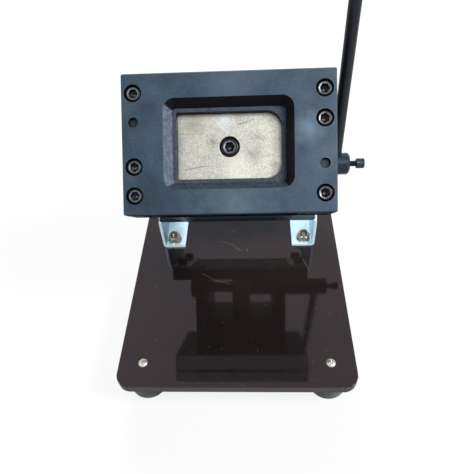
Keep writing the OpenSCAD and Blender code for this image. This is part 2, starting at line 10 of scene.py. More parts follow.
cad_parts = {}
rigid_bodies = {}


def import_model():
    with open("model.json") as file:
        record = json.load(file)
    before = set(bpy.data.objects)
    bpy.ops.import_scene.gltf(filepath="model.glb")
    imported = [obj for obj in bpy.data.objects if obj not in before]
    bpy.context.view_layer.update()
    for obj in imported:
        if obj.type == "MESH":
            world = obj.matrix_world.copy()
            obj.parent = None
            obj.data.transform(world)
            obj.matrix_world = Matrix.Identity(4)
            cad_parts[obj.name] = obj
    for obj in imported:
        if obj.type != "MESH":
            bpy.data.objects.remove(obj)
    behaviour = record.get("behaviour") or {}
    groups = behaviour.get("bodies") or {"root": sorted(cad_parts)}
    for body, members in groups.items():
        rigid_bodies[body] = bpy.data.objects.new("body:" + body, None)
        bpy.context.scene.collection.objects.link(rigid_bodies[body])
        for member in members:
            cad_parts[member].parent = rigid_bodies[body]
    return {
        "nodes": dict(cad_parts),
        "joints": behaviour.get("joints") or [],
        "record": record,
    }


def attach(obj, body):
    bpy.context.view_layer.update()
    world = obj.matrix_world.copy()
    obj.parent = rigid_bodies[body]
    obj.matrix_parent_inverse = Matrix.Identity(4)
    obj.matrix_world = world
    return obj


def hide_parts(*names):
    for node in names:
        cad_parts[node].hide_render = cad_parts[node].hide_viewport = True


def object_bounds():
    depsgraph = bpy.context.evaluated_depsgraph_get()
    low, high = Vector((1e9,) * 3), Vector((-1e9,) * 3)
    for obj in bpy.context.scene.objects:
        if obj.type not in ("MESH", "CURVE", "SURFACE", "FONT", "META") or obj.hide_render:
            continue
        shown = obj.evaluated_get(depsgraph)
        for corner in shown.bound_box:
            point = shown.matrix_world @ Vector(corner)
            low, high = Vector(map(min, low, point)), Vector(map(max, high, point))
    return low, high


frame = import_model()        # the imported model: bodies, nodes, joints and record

mm = 0.001
weld = 0.001 * mm        # corners nearer than this are one
nodes = frame["nodes"]
bodyOf = {node: body for body, held in frame["record"]["behaviour"]["bodies"].items() for node in held}
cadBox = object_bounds()


# Places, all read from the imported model
def cornersOf(node):
    mesh = nodes[node].data
    flat = np.empty(len(mesh.vertices) * 3)
    mesh.vertices.foreach_get("co", flat)
    return flat.reshape(-1, 3)


def boxIn(points, space):
    # lowest and highest corners of points, measured in the given frame
    back = np.array(space.inverted())
    local = points @ back[:3, :3].T + back[:3, 3]
    return Vector(local.min(axis=0)), Vector(local.max(axis=0))


def weldedShell(mesh):
    shell = bmesh.new()
    shell.from_mesh(mesh)
    bmesh.ops.remove_doubles(shell, verts=shell.verts, dist=weld)
    return shell


def solidsOf(node, space):
    # the box of each separate solid of a node, in the given frame
    shell = weldedShell(nodes[node].data)
    left = set(shell.verts)
    boxes = []
    while left:
        solid = [left.pop()]
        for vert in solid:
            for edge in vert.link_edges:
                other = edge.other_vert(vert)
                if other in left:
                    left.remove(other)
                    solid.append(other)
        boxes.append(boxIn(np.array([vert.co for vert in solid]), space))
    shell.free()
    return sorted(boxes, key=lambda box: tuple(round(x, 5) for x in box[0]))


def rodOf(node):
    # frame of a long round node: origin at the middle of its low end, z along it
    points = cornersOf(node)
    along = np.linalg.svd(points - points.mean(axis=0), full_matrices=False)[2][0]
    along = along if along[2] > 0 else -along
    reach = points @ along
    ends = (reach < reach.min() + 0.1 * mm, reach > reach.max() - 0.1 * mm)
    low, high = (Vector(np.unique(points[end].round(7), axis=0).mean(axis=0)) for end in ends)
    return Matrix.Translation(low) @ (high - low).to_track_quat("Z", "Y").to_matrix().to_4x4()


# the frame of the die face: x to the right, y up the face, z out of it
slide = next(joint for joint in frame["joints"] if joint["name"] == "ram_slide")
faceNormal = Vector(slide["axis"]).normalized()
faceUp = Vector((0, abs(faceNormal.z), -faceNormal.y))
dieCorners = cornersOf("die_plate")
outReach, upReach = (dieCorners @ np.array(axis) for axis in (faceNormal, faceUp))
faceCentre = faceNormal * outReach.max() + faceUp * (upReach.min() + upReach.max()) / 2
pressFrame = Matrix.Translation(faceCentre) @ Matrix(((1, 0, 0), faceUp, faceNormal)).transposed().to_4x4()
upright = Matrix.Identity(4)
flip = Matrix.Rotation(math.pi, 4, "X")
sideways = Matrix.Rotation(math.pi / 2, 4, "Y")        # its z points along +X
print("press frame at", [round(x, 4) for x in faceCentre])

# Nodes of every kind of tree. An input of a group is given by its default, or by its kind where it has none.
socketKinds = {float: "Float", int: "Int", tuple: "Vector", "vector": "Vector", "geometry": "Geometry",
               "material": "Material"}
groups = {}


def newGroup(name, inputs, output):
    # a group with one output, which is a number unless it is called Geometry
    shape = output == "Geometry"
    group = bpy.data.node_groups.new(name, "GeometryNodeTree" if shape else "ShaderNodeTree")
    for label, value in inputs.items():
        kind = socketKinds[value if isinstance(value, str) else type(value)]
        socket = group.interface.new_socket(label, in_out="INPUT", socket_type="NodeSocket" + kind)
        if not isinstance(value, str):
            socket.default_value = value
    kind = "NodeSocketGeometry" if shape else "NodeSocketFloat"
    group.interface.new_socket(output, in_out="OUTPUT", socket_type=kind)
    groups[name] = group
    return group, group.nodes.new("NodeGroupInput").outputs, group.nodes.new("NodeGroupOutput").inputs[0]


def addNode(tree, kind, inputs=None, **settings):
    made = tree.nodes.new(kind)
    for key, value in settings.items():
        setattr(made, key, value)
    for key, value in (inputs or {}).items():
        if isinstance(value, bpy.types.NodeSocket):
            tree.links.new(value, made.inputs[key])
        else:
            made.inputs[key].default_value = value
    return made


def addMath(tree, operation, a, b=0.5, c=None, clamp=False):
    inputs = {0: a, 1: b} if c is None else {0: a, 1: b, 2: c}
    return addNode(tree, "ShaderNodeMath", inputs, operation=operation, use_clamp=clamp).outputs[0]


def sumsOf(tree, *operations):
    # a short call for each named operation, in one tree
    return [partial(addMath, tree, operation) for operation in operations]


def addRange(tree, value, low, high, toLow=0.0, toHigh=1.0):
    made = addNode(tree, "ShaderNodeMapRange", {
        "Value": value, "From Min": low, "From Max": high, "To Min": toLow, "To Max": toHigh})
    return made.outputs["Result"]


def addVectorMath(tree, operation, *inputs):
    made = addNode(tree, "ShaderNodeVectorMath", dict(enumerate(inputs)), operation=operation)
    return made.outputs["Value" if operation in ("DOT_PRODUCT", "DISTANCE") else "Vector"]


def addScaled(tree, vector, scale):
    return addNode(tree, "ShaderNodeVectorMath", {0: vector, "Scale": scale}, operation="SCALE").outputs[0]


def joinXYZ(tree, *parts):
    return addNode(tree, "ShaderNodeCombineXYZ", dict(enumerate(parts))).outputs[0]


def splitXYZ(tree, vector):
    return tuple(addNode(tree, "ShaderNodeSeparateXYZ", {0: vector}).outputs)


def addMix(tree, factor, a, b, blend="MIX"):
    made = addNode(tree, "ShaderNodeMix", {0: factor, 6: a, 7: b}, data_type="RGBA", blend_type=blend)
    return made.outputs[2]


def addNoise(tree, vector, scale, detail=3.0, roughness=0.5, distortion=0.0):
    made = addNode(tree, "ShaderNodeTexNoise", {
        "Vector": vector, "Scale": scale, "Detail": detail, "Roughness": roughness, "Distortion": distortion})
    return made.outputs["Fac"]


def addCells(tree, vector, scale):
    # how near the next of many scattered points is, and two chance numbers of that point
    cells = addNode(tree, "ShaderNodeTexVoronoi", {"Vector": vector, "Scale": scale}).outputs
    chances = addNode(tree, "ShaderNodeSeparateColor", {0: cells["Color"]}).outputs
    return cells["Distance"], chances[0], chances[1]


def rgb(red, green, blue):
    # a colour as the eye sees it, 0 to 255, in the linear values that sockets take
    return tuple(((c / 255 + 0.055) / 1.055) ** 2.4 if c > 10 else c / 255 / 12.92
                 for c in (red, green, blue)) + (1.0,)


# Effects that several finishes share
def makeEdgeWear():
    # rubbed edges: where the normal of a small rounding leaves the surface's own
    flat, bent, samples, patches = 0.995, 0.86, 6, 900
    group, given, out = newGroup("edgeWear", {"Vector": "vector", "Radius": 0.8 * mm, "Amount": 0.7}, "Mask")
    rounded = addNode(group, "ShaderNodeBevel", {"Radius": given["Radius"]}, samples=samples).outputs[0]
    plain = addNode(group, "ShaderNodeNewGeometry").outputs["Normal"]
    bend = addRange(group, addVectorMath(group, "DOT_PRODUCT", rounded, plain), flat, bent)
    patchy = addRange(group, addNoise(group, given["Vector"], patches, 4), 0.35, 0.6)
    wearAndHighlight = addMath(group, "MULTIPLY", bend, patchy)
    group.links.new(addMath(group, "MULTIPLY", wearAndHighlight, given["Amount"], clamp=True), out)


def makeMottle():
    # broad and fine cloudiness of an oxide or a rubbed finish, round 0.5
    finer, broadShare = 14.0, 0.6
    group, given, out = newGroup("mottle", {"Vector": "vector", "Scale": 60.0, "Contrast": 1.0}, "Value")
    times, minus = sumsOf(group, "MULTIPLY", "SUBTRACT")
    broad = addNoise(group, given["Vector"], given["Scale"], 4, 0.55, 0.3)
    fine = addNoise(group, given["Vector"], times(given["Scale"], finer), 5, 0.7)
    both = addMath(group, "MULTIPLY_ADD", broad, broadShare, times(fine, 1 - broadShare))
    spread = times(minus(both, 0.5), given["Contrast"])
    group.links.new(addMath(group, "ADD", spread, 0.5, clamp=True), out)


def makeGrain():
    # parallel marks of a grinding wheel or a cutter, which Stretch draws out
    finer, coarseShare = 3.1, 0.65
    group, given, out = newGroup(
        "grain", {"Vector": "vector", "Lines": 2500.0, "Stretch": (0.03, 1, 1)}, "Height")
    stretched = addVectorMath(group, "MULTIPLY", given["Vector"], given["Stretch"])
    coarse = addNoise(group, stretched, given["Lines"], 3, 0.6)
    fine = addNoise(group, stretched, addMath(group, "MULTIPLY", given["Lines"], finer), 2, 0.6)
    group.links.new(addMath(group, "MULTIPLY_ADD", coarse, coarseShare,
                            addMath(group, "MULTIPLY", fine, 1 - coarseShare)), out)


def makeScratches():
    # fine stray scratches, 1 on a scratch and 0 elsewhere; Curl bends them
    directions = ((10, 25), (-15, -38), (35, 80))        # turns about x and z, in degrees
    stretch, thinness = (0.025, 1, 1), 0.07
    group, given, out = newGroup(
        "scratches", {"Vector": "vector", "Scale": 500.0, "Amount": 0.1, "Curl": 0.0}, "Mask")
    times, below, larger = sumsOf(group, "MULTIPLY", "LESS_THAN", "MAXIMUM")
    bend = addNode(group, "ShaderNodeTexNoise", {"Vector": given["Vector"], "Scale": 30.0, "Detail": 1.0})
    curl = addScaled(group, bend.outputs["Color"], given["Curl"])
    moved = addVectorMath(group, "ADD", curl, given["Vector"])
    total = 0.0
    for tip, turn in directions:
        angles = (math.radians(tip), 0, math.radians(turn))
        turned = addNode(group, "ShaderNodeVectorRotate", {"Vector": moved, "Rotation": angles},
                         rotation_type="EULER_XYZ")
        drawn = addVectorMath(group, "MULTIPLY", turned.outputs[0], stretch)
        near, chance, width = addCells(group, drawn, given["Scale"])
        thin = below(near, times(width, thinness))
        total = larger(times(thin, below(chance, given["Amount"])), total)
    group.links.new(total, out)


def makeSoftSpot():
    # a soft uneven spot round a point of the plane of x and y, 1 at its middle
    edge, core, unevenness = 1.25, 0.45, 0.9
    group, given, out = newGroup(
        "softSpot", {"Vector": "vector", "Centre": "vector", "Radius": 10 * mm}, "Mask")
    flat = addVectorMath(group, "MULTIPLY", given["Vector"], (1, 1, 0))
    share = addMath(group, "DIVIDE", addVectorMath(group, "DISTANCE", flat, given["Centre"]), given["Radius"])
    noise = addNoise(group, given["Vector"], 120, 5, 0.65)
    uneven = addMath(group, "MULTIPLY_ADD", noise, unevenness, share)
    group.links.new(addRange(group, uneven, edge, core), out)


def makeDust():
    # specks of dust, 1 on a speck
    largest = 0.22
    group, given, out = newGroup("dust", {"Vector": "vector", "Scale": 900.0, "Amount": 0.3}, "Mask")
    times, below = sumsOf(group, "MULTIPLY", "LESS_THAN")
    near, size, chance = addCells(group, given["Vector"], given["Scale"])
    speck = below(near, times(size, largest))
    group.links.new(times(speck, below(chance, given["Amount"])), out)


def makeLineMark():
    # one scratch between two points, 1 on the line, ragged along it
    thinnest, widest = 0.3, 1.6
    group, given, out = newGroup(
        "lineMark", {"Vector": "vector", "Start": "vector", "End": "vector", "Width": 0.4 * mm}, "Mask")
    span = addVectorMath(group, "SUBTRACT", given["End"], given["Start"])
    away = addVectorMath(group, "SUBTRACT", given["Vector"], given["Start"])
    share = addMath(group, "DIVIDE", addVectorMath(group, "DOT_PRODUCT", away, span),
                    addVectorMath(group, "DOT_PRODUCT", span, span), clamp=True)
    gap = addVectorMath(group, "DISTANCE", away, addScaled(group, span, share))
    noise = addNoise(group, given["Vector"], 700, 3, 0.7)
    ragged = addMath(group, "MULTIPLY", given["Width"], addRange(group, noise, 0.3, 0.7, thinnest, widest))
    group.links.new(addRange(group, addMath(group, "DIVIDE", gap, ragged), 1.0, 0.2), out)


for makeEffect in (makeEdgeWear, makeMottle, makeGrain, makeDust, makeScratches, makeSoftSpot, makeLineMark):
    makeEffect()
print("shader groups made")


def useGroup(tree, name, **inputs):
    return addNode(tree, "ShaderNodeGroup", inputs, node_tree=groups[name]).outputs[0]


def addCloud(tree, where, scale, contrast):
    return useGroup(tree, "mottle", Vector=where, Scale=scale, Contrast=contrast)


def newMaterial(name, onPress=False, **fixed):
    # returns the material, its tree, its Principled shader and the pattern's coordinates
    material = bpy.data.materials.new(name)
    material.use_nodes = True
    tree = material.node_tree
    shader = tree.nodes["Principled BSDF"]
    for key, value in fixed.items():
        shader.inputs[key].default_value = value
    where = tree.nodes.new("ShaderNodeTexCoord").outputs["Object"]
    if onPress:
        turn = pressFrame.to_3x3().transposed()
        where = addNode(tree, "ShaderNodeMapping", {
            "Vector": where, "Rotation": turn.to_euler(), "Location": -(turn @ faceCentre)}).outputs[0]
    return material, tree, shader, where


def addBump(tree, shader, height, distance):
    bump = addNode(tree, "ShaderNodeBump", {"Height": height, "Strength": 1.0, "Distance": distance})
    tree.links.new(bump.outputs["Normal"], shader.inputs["Normal"])


def paintOn(tree, color, mask, strength, tone):
    return addMix(tree, addMath(tree, "MULTIPLY", mask, strength), color, tone)


def addSpots(tree, where, color, spots):
    # soft spots, each given by its place and radius in mm, how strong it is and its colour
    for x, y, radius, strength, tone in spots:
        mask = useGroup(tree, "softSpot", Vector=where, Centre=(x * mm, y * mm, 0), Radius=radius * mm)
        color = paintOn(tree, color, mask, strength, tone)
    return color


def addMarks(tree, where, color, marks, tone, strength):
    # single scratches, each given by its two ends and its width in mm
    flat = addVectorMath(tree, "MULTIPLY", where, (1, 1, 0))
    for x, y, endX, endY, width in marks:
        mark = useGroup(tree, "lineMark", Vector=flat, Start=(x * mm, y * mm, 0),
                        End=(endX * mm, endY * mm, 0), Width=width * mm)
        color = paintOn(tree, color, mark, strength, tone)
    return color


finish = {"middle": (0.2, 0.8), "stainContrast": 4.0, "grainMiddle": (0.3, 0.7), "scratchStrength": 0.35,
          "dustStrength": 0.5, "dustTone": rgb(150, 150, 150)}


def makeFinish(name, look, onPress=True):
    # A worn metal, plastic or rubber surface. Its look holds the shader's own values, the dark and the light
    # tone, the cloud's scale and contrast, and the roughness where dark and where light. It may also hold a
    # stain (tone, scale, amount), a grain (lines, stretch, depth, contrast), spots, scratches (tone, scale),
    # a rubbed edge (tone, radius, amount) and an amount of dust.
    material, tree, shader, where = newMaterial(name, onPress, **look["shader"])
    cloud = addCloud(tree, where, *look["cloud"])
    color = addMix(tree, cloud, *look["tones"])
    if "stain" in look:
        tone, scale, amount = look["stain"]
        patch = addCloud(tree, where, scale, finish["stainContrast"])
        color = paintOn(tree, color, patch, amount, tone)
    if "grain" in look:
        lines, stretch, depth, contrast = look["grain"]
        grain = useGroup(tree, "grain", Vector=where, Lines=lines, Stretch=stretch)
        addBump(tree, shader, grain, depth)
        shade = addRange(tree, grain, *finish["grainMiddle"], 1 - contrast, 1 + contrast)
        color = addMix(tree, 1.0, color, shade, "MULTIPLY")
    color = addSpots(tree, where, color, look.get("spots", []))
    if "scratch" in look:
        tone, scale = look["scratch"]
        mark = useGroup(tree, "scratches", Vector=where, Scale=scale)
        color = paintOn(tree, color, mark, finish["scratchStrength"], tone)
    if "edge" in look:
        tone, radius, amount = look["edge"]
        wear = useGroup(tree, "edgeWear", Vector=where, Radius=radius, Amount=amount)
        color = addMix(tree, wear, color, tone)
    if "dust" in look:
        speck = useGroup(tree, "dust", Vector=where, Amount=look["dust"])
        color = paintOn(tree, color, speck, finish["dustStrength"], finish["dustTone"])
    tree.links.new(color, shader.inputs["Base Color"])
    tree.links.new(addRange(tree, cloud, *finish["middle"], *look["rough"]), shader.inputs["Roughness"])
    return material


# Geometry trees for what repeats
def turnedGrid(tree, rows, segments, knurl=0.0, thread=None):
    # A grid bent round the z axis, one row of it for each (radius, height, side) in rows. Side 0 is round,
    # 1 a hexagon and 2 knurled. A thread adds its own rows where it starts.
    plus, minus, times, over, above, cosine, sine, multiplyAdd = sumsOf(
        tree, "ADD", "SUBTRACT", "MULTIPLY", "DIVIDE", "GREATER_THAN", "COSINE", "SINE", "MULTIPLY_ADD")
    extra = thread["rows"] if thread else 0.0
    total = plus(float(len(rows)), extra)
    grid = addNode(tree, "GeometryNodeMeshGrid", {
        "Size X": 1.0, "Size Y": 1.0, "Vertices X": plus(segments, 1.0), "Vertices Y": total})
    across, down, _ = splitXYZ(tree, tree.nodes.new("GeometryNodeInputPosition").outputs[0])
    angle = times(plus(across, 0.5), math.tau)
    row = addMath(tree, "ROUND", times(plus(down, 0.5), minus(total, 1.0)))

    pick = addNode(tree, "GeometryNodeIndexSwitch", None, data_type="VECTOR")
    while len(pick.index_switch_items) < len(rows):
        pick.index_switch_items.new()
    for number, parts in enumerate(rows):
        tree.links.new(joinXYZ(tree, *parts), pick.inputs[number + 1])
    index = row
    if thread:
        past = above(row, plus(extra, thread["start"] - 0.5))
        index = minus(row, times(past, extra))
    tree.links.new(index, pick.inputs[0])
    radius, height, side = splitXYZ(tree, pick.outputs[0])

    if thread:
        inside = minus(above(row, thread["start"] - 0.5), past)
        sunk = over(minus(row, float(thread["start"])), minus(extra, 1.0))
        climb = times(minus(1.0, sunk), thread["length"])
        threadHeight = plus(thread["low"], climb)
        phase = plus(over(threadHeight, thread["pitch"]), over(angle, math.tau))
        wave = addMath(tree, "ABSOLUTE", multiplyAdd(addMath(tree, "FRACT", phase), 2.0, -1.0))
        cut = addRange(tree, wave, *threadFlank)
        tail = addRange(tree, climb, 0.0, thread["pitch"], 1.0, 0.0)
        head = addRange(tree, climb, minus(thread["length"], thread["pitch"]), thread["length"], 1.0, 0.0)
        cut = times(addMath(tree, "MAXIMUM", cut, tail), head)
        threadRadius = minus(thread["radius"], times(cut, thread["depth"]))
        plain = joinXYZ(tree, radius, height, side)
        threaded = joinXYZ(tree, threadRadius, threadHeight, 0.0)
        chosen = addNode(tree, "ShaderNodeMix", {0: inside, 4: plain, 5: threaded}, data_type="VECTOR")
        radius, height, side = splitXYZ(tree, chosen.outputs[1])

    sixth = math.pi / 3
    isHexagon, isKnurled = (addMath(tree, "COMPARE", side, kind, 0.4) for kind in (1.0, 2.0))
    flatTurn = minus(addMath(tree, "MODULO", angle, sixth), sixth / 2)
    hexagon = over(math.cos(sixth / 2), cosine(flatTurn))
    shrink = multiplyAdd(isHexagon, minus(hexagon, 1.0), 1.0)
    ridge = cosine(times(angle, times(segments, 0.5)))
    groove = times(times(multiplyAdd(ridge, 0.5, 0.5), knurl), isKnurled)
    final = minus(times(radius, shrink), groove)
    place = joinXYZ(tree, times(final, cosine(angle)), times(final, sine(angle)), height)
    bent = addNode(tree, "GeometryNodeSetPosition", {"Geometry": grid.outputs["Mesh"], "Position": place})
    turned = addNode(tree, "GeometryNodeFlipFaces", {"Mesh": bent.outputs[0]})
    merging = {"Geometry": turned.outputs[0], "Distance": 2 * weld}
    return addNode(tree, "GeometryNodeMergeByDistance", merging).outputs[0]


def copyToPoints(tree, given, out, shape):
    # the shape at each given point, tilted, each with a chance turn about its own axis
    tilt = addNode(tree, "FunctionNodeEulerToRotation", {0: given["Tilt"]}).outputs[0]
    chance = addNode(tree, "FunctionNodeRandomValue", {"Seed": given["Seed"]}, data_type="FLOAT")
    chance.inputs[3].default_value = math.tau
    spun = joinXYZ(tree, 0.0, 0.0, chance.outputs[1])
    turn = addNode(tree, "FunctionNodeEulerToRotation", {0: spun}).outputs[0]
    both = addNode(tree, "FunctionNodeRotateRotation", {0: tilt, 1: turn}, rotation_space="LOCAL").outputs[0]
    copies = addNode(tree, "GeometryNodeInstanceOnPoints", {
        "Points": given["Geometry"], "Instance": shape, "Rotation": both}).outputs[0]
    real = addNode(tree, "GeometryNodeRealizeInstances", {0: copies}).outputs[0]
    painted = addNode(tree, "GeometryNodeSetMaterial", {"Geometry": real, "Material": given["Material"]})
    tree.links.new(painted.outputs[0], out)


placing = {"Geometry": "geometry", "Tilt": "vector", "Seed": 1, "Material": "material", "Segments": 96}
threadFlank = (0.9, 0.12)        # from crest to root, as shares of half a turn
# shares of the key's radius, of the head's straight part and of the shank's radius
headShape = {
    "drillDepth": 0.35, "drillFloor": 0.3, "keyEdge": 0.1, "keyMouth": 1.2, "bodyEdge": 0.05, "neck": 0.06}


def makeFastenerTree():
    # a screw or bolt, the top of its head at z = 0 and its shank below
    tree, given, out = newGroup("fastener", {
        **placing, "Head Width": 13 * mm, "Head Height": 8 * mm, "Edge Width": 0.6 * mm,
        "Edge Height": 0.6 * mm, "Side": 0.0, "Knurl Depth": 0.0, "Key Width": 0.0, "Key Depth": 0.0,
        "Cross Reach": 0.0, "Cross Width": 1 * mm, "Cross Depth": 1 * mm, "Thread": 8 * mm, "Length": 25 * mm,
        "Thread Length": 1 * mm, "Thread Rows": 2, "Thread Depth": 0.0, "Pitch": 1.25 * mm,
        "Tip Width": 6.4 * mm, "Tip Height": 0.8 * mm}, "Geometry")
    plus, minus, times = sumsOf(tree, "ADD", "SUBTRACT", "MULTIPLY")
    drill, floor, keyEdge, mouth, bodyEdge, neck = headShape.values()

    half, shank = times(given["Head Width"], 0.5), times(given["Thread"], 0.5)
    key = times(given["Key Width"], 0.5 / math.cos(math.pi / 6))
    keyLow, low = times(given["Key Depth"], -1.0), times(given["Head Height"], -1.0)
    body = minus(given["Head Height"], given["Edge Height"])
    hexagonal = addMath(tree, "COMPARE", given["Side"], 1.0, 0.4)
    rows = [(0.0, plus(keyLow, times(key, -drill)), 0.0),
            (times(key, floor), plus(keyLow, times(key, -floor)), 0.0), (key, keyLow, 1.0),
            (key, times(key, -keyEdge), 1.0), (times(key, mouth), 0.0, 0.0)]
    for turn in (0, 22.5, 45, 67.5, 90):
        turned = math.radians(turn)
        rows.append((plus(half, times(given["Edge Width"], math.sin(turned) - 1)),
                     times(given["Edge Height"], math.cos(turned) - 1), hexagonal if turn else 0.0))
    rows += [(half, plus(times(given["Edge Height"], -1.0), times(body, -neck)), given["Side"]),
             (half, plus(low, times(body, 2 * bodyEdge)), given["Side"]),
             (half, plus(low, times(body, bodyEdge)), hexagonal),
             (plus(half, times(body, -bodyEdge)), low, hexagonal), (times(shank, 1 + neck), low, 0.0),
             (shank, plus(low, times(shank, -neck)), 0.0)]
    start = len(rows)
    end = minus(low, given["Length"])
    root, tip = minus(shank, given["Thread Depth"]), times(given["Tip Width"], 0.5)
    for turn in (0, 30, 60, 90):
        share, rise = math.cos(math.radians(turn)), 1 - math.sin(math.radians(turn))
        wide, high = plus(times(root, share), times(tip, 1 - share)), times(given["Tip Height"], rise)
        rows.append((wide, plus(end, high), 0.0))
    rows.append((0.0, end, 0.0))
    solid = turnedGrid(tree, rows, given["Segments"], given["Knurl Depth"], {
        "rows": given["Thread Rows"], "start": start, "length": given["Thread Length"],
        "low": plus(end, given["Tip Height"]), "pitch": given["Pitch"], "depth": given["Thread Depth"],
        "radius": shank})

    arm = joinXYZ(tree, given["Cross Reach"], given["Cross Width"], times(given["Cross Depth"], 2.0))
    bar = addNode(tree, "GeometryNodeMeshCube", {"Size": arm}).outputs[0]
    quarter = (0, 0, math.pi / 2)
    across = addNode(tree, "GeometryNodeTransform", {"Geometry": bar, "Rotation": quarter}).outputs[0]
    crossed = addNode(tree, "GeometryNodeMeshBoolean", {"Self Intersection": True}, operation="DIFFERENCE",
                      solver="EXACT")
    for cut, socket in ((solid, "Mesh 1"), (bar, "Mesh 2"), (across, "Mesh 2")):
        tree.links.new(cut, crossed.inputs[socket])
    hasCross = addMath(tree, "GREATER_THAN", given["Cross Reach"], 0.0)
    choice = addNode(tree, "GeometryNodeSwitch", {0: hasCross, 1: solid, 2: crossed.outputs[0]},
                     input_type="GEOMETRY")
    copyToPoints(tree, given, out, choice.outputs[0])


def makeRingTree():
    # a nut or a washer, its lower face at z = 0
    tree, given, out = newGroup("ring", {
        **placing, "Width": 13 * mm, "Bore": 8 * mm, "Height": 6.5 * mm, "Edge Width": 0.3 * mm,
        "Edge Height": 0.3 * mm, "Side": 0.0, "Sink": 0.2 * mm}, "Geometry")
    plus, minus, times = sumsOf(tree, "ADD", "SUBTRACT", "MULTIPLY")
    half, bore = times(given["Width"], 0.5), times(given["Bore"], 0.5)
    mouth, wide = plus(bore, given["Sink"]), minus(half, given["Edge Width"])
    top, sink, side = given["Height"], given["Sink"], given["Side"]
    rows = [(bore, sink, 0.0), (bore, minus(top, sink), 0.0), (mouth, top, 0.0), (wide, top, 0.0),
            (half, minus(top, given["Edge Height"]), side), (half, given["Edge Height"], side),
            (wide, 0.0, 0.0), (mouth, 0.0, 0.0), (bore, sink, 0.0)]
    copyToPoints(tree, given, out, turnedGrid(tree, rows, given["Segments"]))


makeFastenerTree()
makeRingTree()
print("geometry trees made")


def keepPiece(name, mesh, angle=32.0):
    # a mesh object at the origin, smooth but for edges sharper than the angle
    mesh.name = name
    mesh.shade_smooth()
    mesh.set_sharp_from_angle(angle=math.radians(angle))
    piece = bpy.data.objects.new(name, mesh)
    bpy.context.scene.collection.objects.link(piece)
    return piece


def growPiece(name, tree, points, sizes):
    # runs a tree on the points and keeps its result as a plain mesh
    seeds = bpy.data.meshes.new(name + "Points")
    seeds.from_pydata([tuple(point) for point in points], [], [])
    source = bpy.data.objects.new(name + "Source", seeds)
    bpy.context.scene.collection.objects.link(source)
    modifier = source.modifiers.new("grow", "NODES")
    modifier.node_group = tree
    for item in tree.interface.items_tree:
        if item.in_out == "INPUT" and item.name in sizes:
            modifier[item.identifier] = sizes[item.name]
    grown = bpy.data.meshes.new_from_object(source.evaluated_get(bpy.context.evaluated_depsgraph_get()))
    bpy.data.objects.remove(source)
    bpy.data.meshes.remove(seeds)
    return keepPiece(name, grown)


def finishPiece(piece, node, *materials):
    for material in materials:
        piece.data.materials.append(material)
    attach(piece, bodyOf[node])
    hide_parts(node)


def addScrews(node, space, material, sizes, wearAndHighlight=None):
    # screws on a node's solids, whose heads lie at the high end of the frame's z
    boxes = solidsOf(node, space)
    low, high = boxes[0]
    tops = [Vector(((a.x + b.x) / 2, (a.y + b.y) / 2, b.z)) for a, b in boxes]
    given = {"Tilt": tuple(space.to_euler()), "Material": material, "Head Width": high.x - low.x,
             "Length": high.z - low.z - sizes["Head Height"], **sizes}
    piece = growPiece(node + "_turned", groups["fastener"], [space @ top for top in tops], given)
    if not wearAndHighlight:
        return finishPiece(piece, node)
    # the hexagon's rim and the drill point below it are bright metal, a painted highlight ring and glint
    rimStart = 0.8        # as a share of the key's radius
    key, back = sizes["Key Width"] / 2 / math.cos(math.pi / 6), space.inverted()
    for face in piece.data.polygons:
        at = back @ face.center
        top = min(tops, key=lambda point: (point - at).xy.length)
        away, sunk = (at - top).xy.length / key, top.z - at.z
        rim = rimStart < away < headShape["keyMouth"] and sunk < key * headShape["keyEdge"]
        drilled = away < headShape["drillFloor"] and sunk > sizes["Key Depth"]
        if rim or drilled:
            face.material_index = len(piece.data.materials)
    finishPiece(piece, node, wearAndHighlight)


def addRings(node, material, sizes):
    # nuts or washers on a node's solids, all upright
    boxes = solidsOf(node, upright)
    low, high = boxes[0]
    points = [((a.x + b.x) / 2, (a.y + b.y) / 2, a.z) for a, b in boxes]
    given = {"Material": material, "Width": high.x - low.x, "Height": high.z - low.z, **sizes}
    finishPiece(growPiece(node + "_turned", groups["ring"], points, given), node)


# Pieces turned on a lathe, and pieces dressed from the node's own shape
def arc(centre, height, radius, start, end, steps=6):
    # points of a rounding, from one angle to another in degrees
    turns = [math.radians(start + (end - start) * step / steps) for step in range(steps + 1)]
    return [(centre + radius * math.cos(turn), height + radius * math.sin(turn)) for turn in turns]


def turnPiece(node, material, profile, spaces, segments=96, closed=False):
    # a profile of (radius, height) points spun about z, once in each frame
    shell = bmesh.new()
    for space in spaces:
        rings = []
        for radius, height in profile:
            around = [math.tau * k / segments for k in range(segments)] if radius > weld else [0.0]
            points = [(radius * math.cos(t), radius * math.sin(t), height) for t in around]
            rings.append([shell.verts.new(space @ Vector(point)) for point in points])
        for ring, nextRing in zip(rings, rings[1:] + rings[:1] if closed else rings[1:]):
            for k in range(segments):
                corners = [ring[k % len(ring)], ring[(k + 1) % len(ring)],
                           nextRing[(k + 1) % len(nextRing)], nextRing[k % len(nextRing)]]
                shell.faces.new(list(dict.fromkeys(corners)))
    bmesh.ops.recalc_face_normals(shell, faces=shell.faces)
    mesh = bpy.data.meshes.new(node)
    shell.to_mesh(mesh)
    shell.free()
    finishPiece(keepPiece(node + "_turned", mesh), node, material)


dressing = {"flat": 0.3, "corner": 40, "cornerSteps": 5, "edgeSteps": 2}        # angles in degrees


def isPlateCorner(edge):
    # whether an edge is sharp and runs through a plate, from its front to its back
    sharp = edge.is_convex and edge.calc_face_angle() > math.radians(dressing["corner"])
    return sharp and abs((edge.verts[1].co - edge.verts[0].co).normalized().dot(faceNormal)) > 0.999


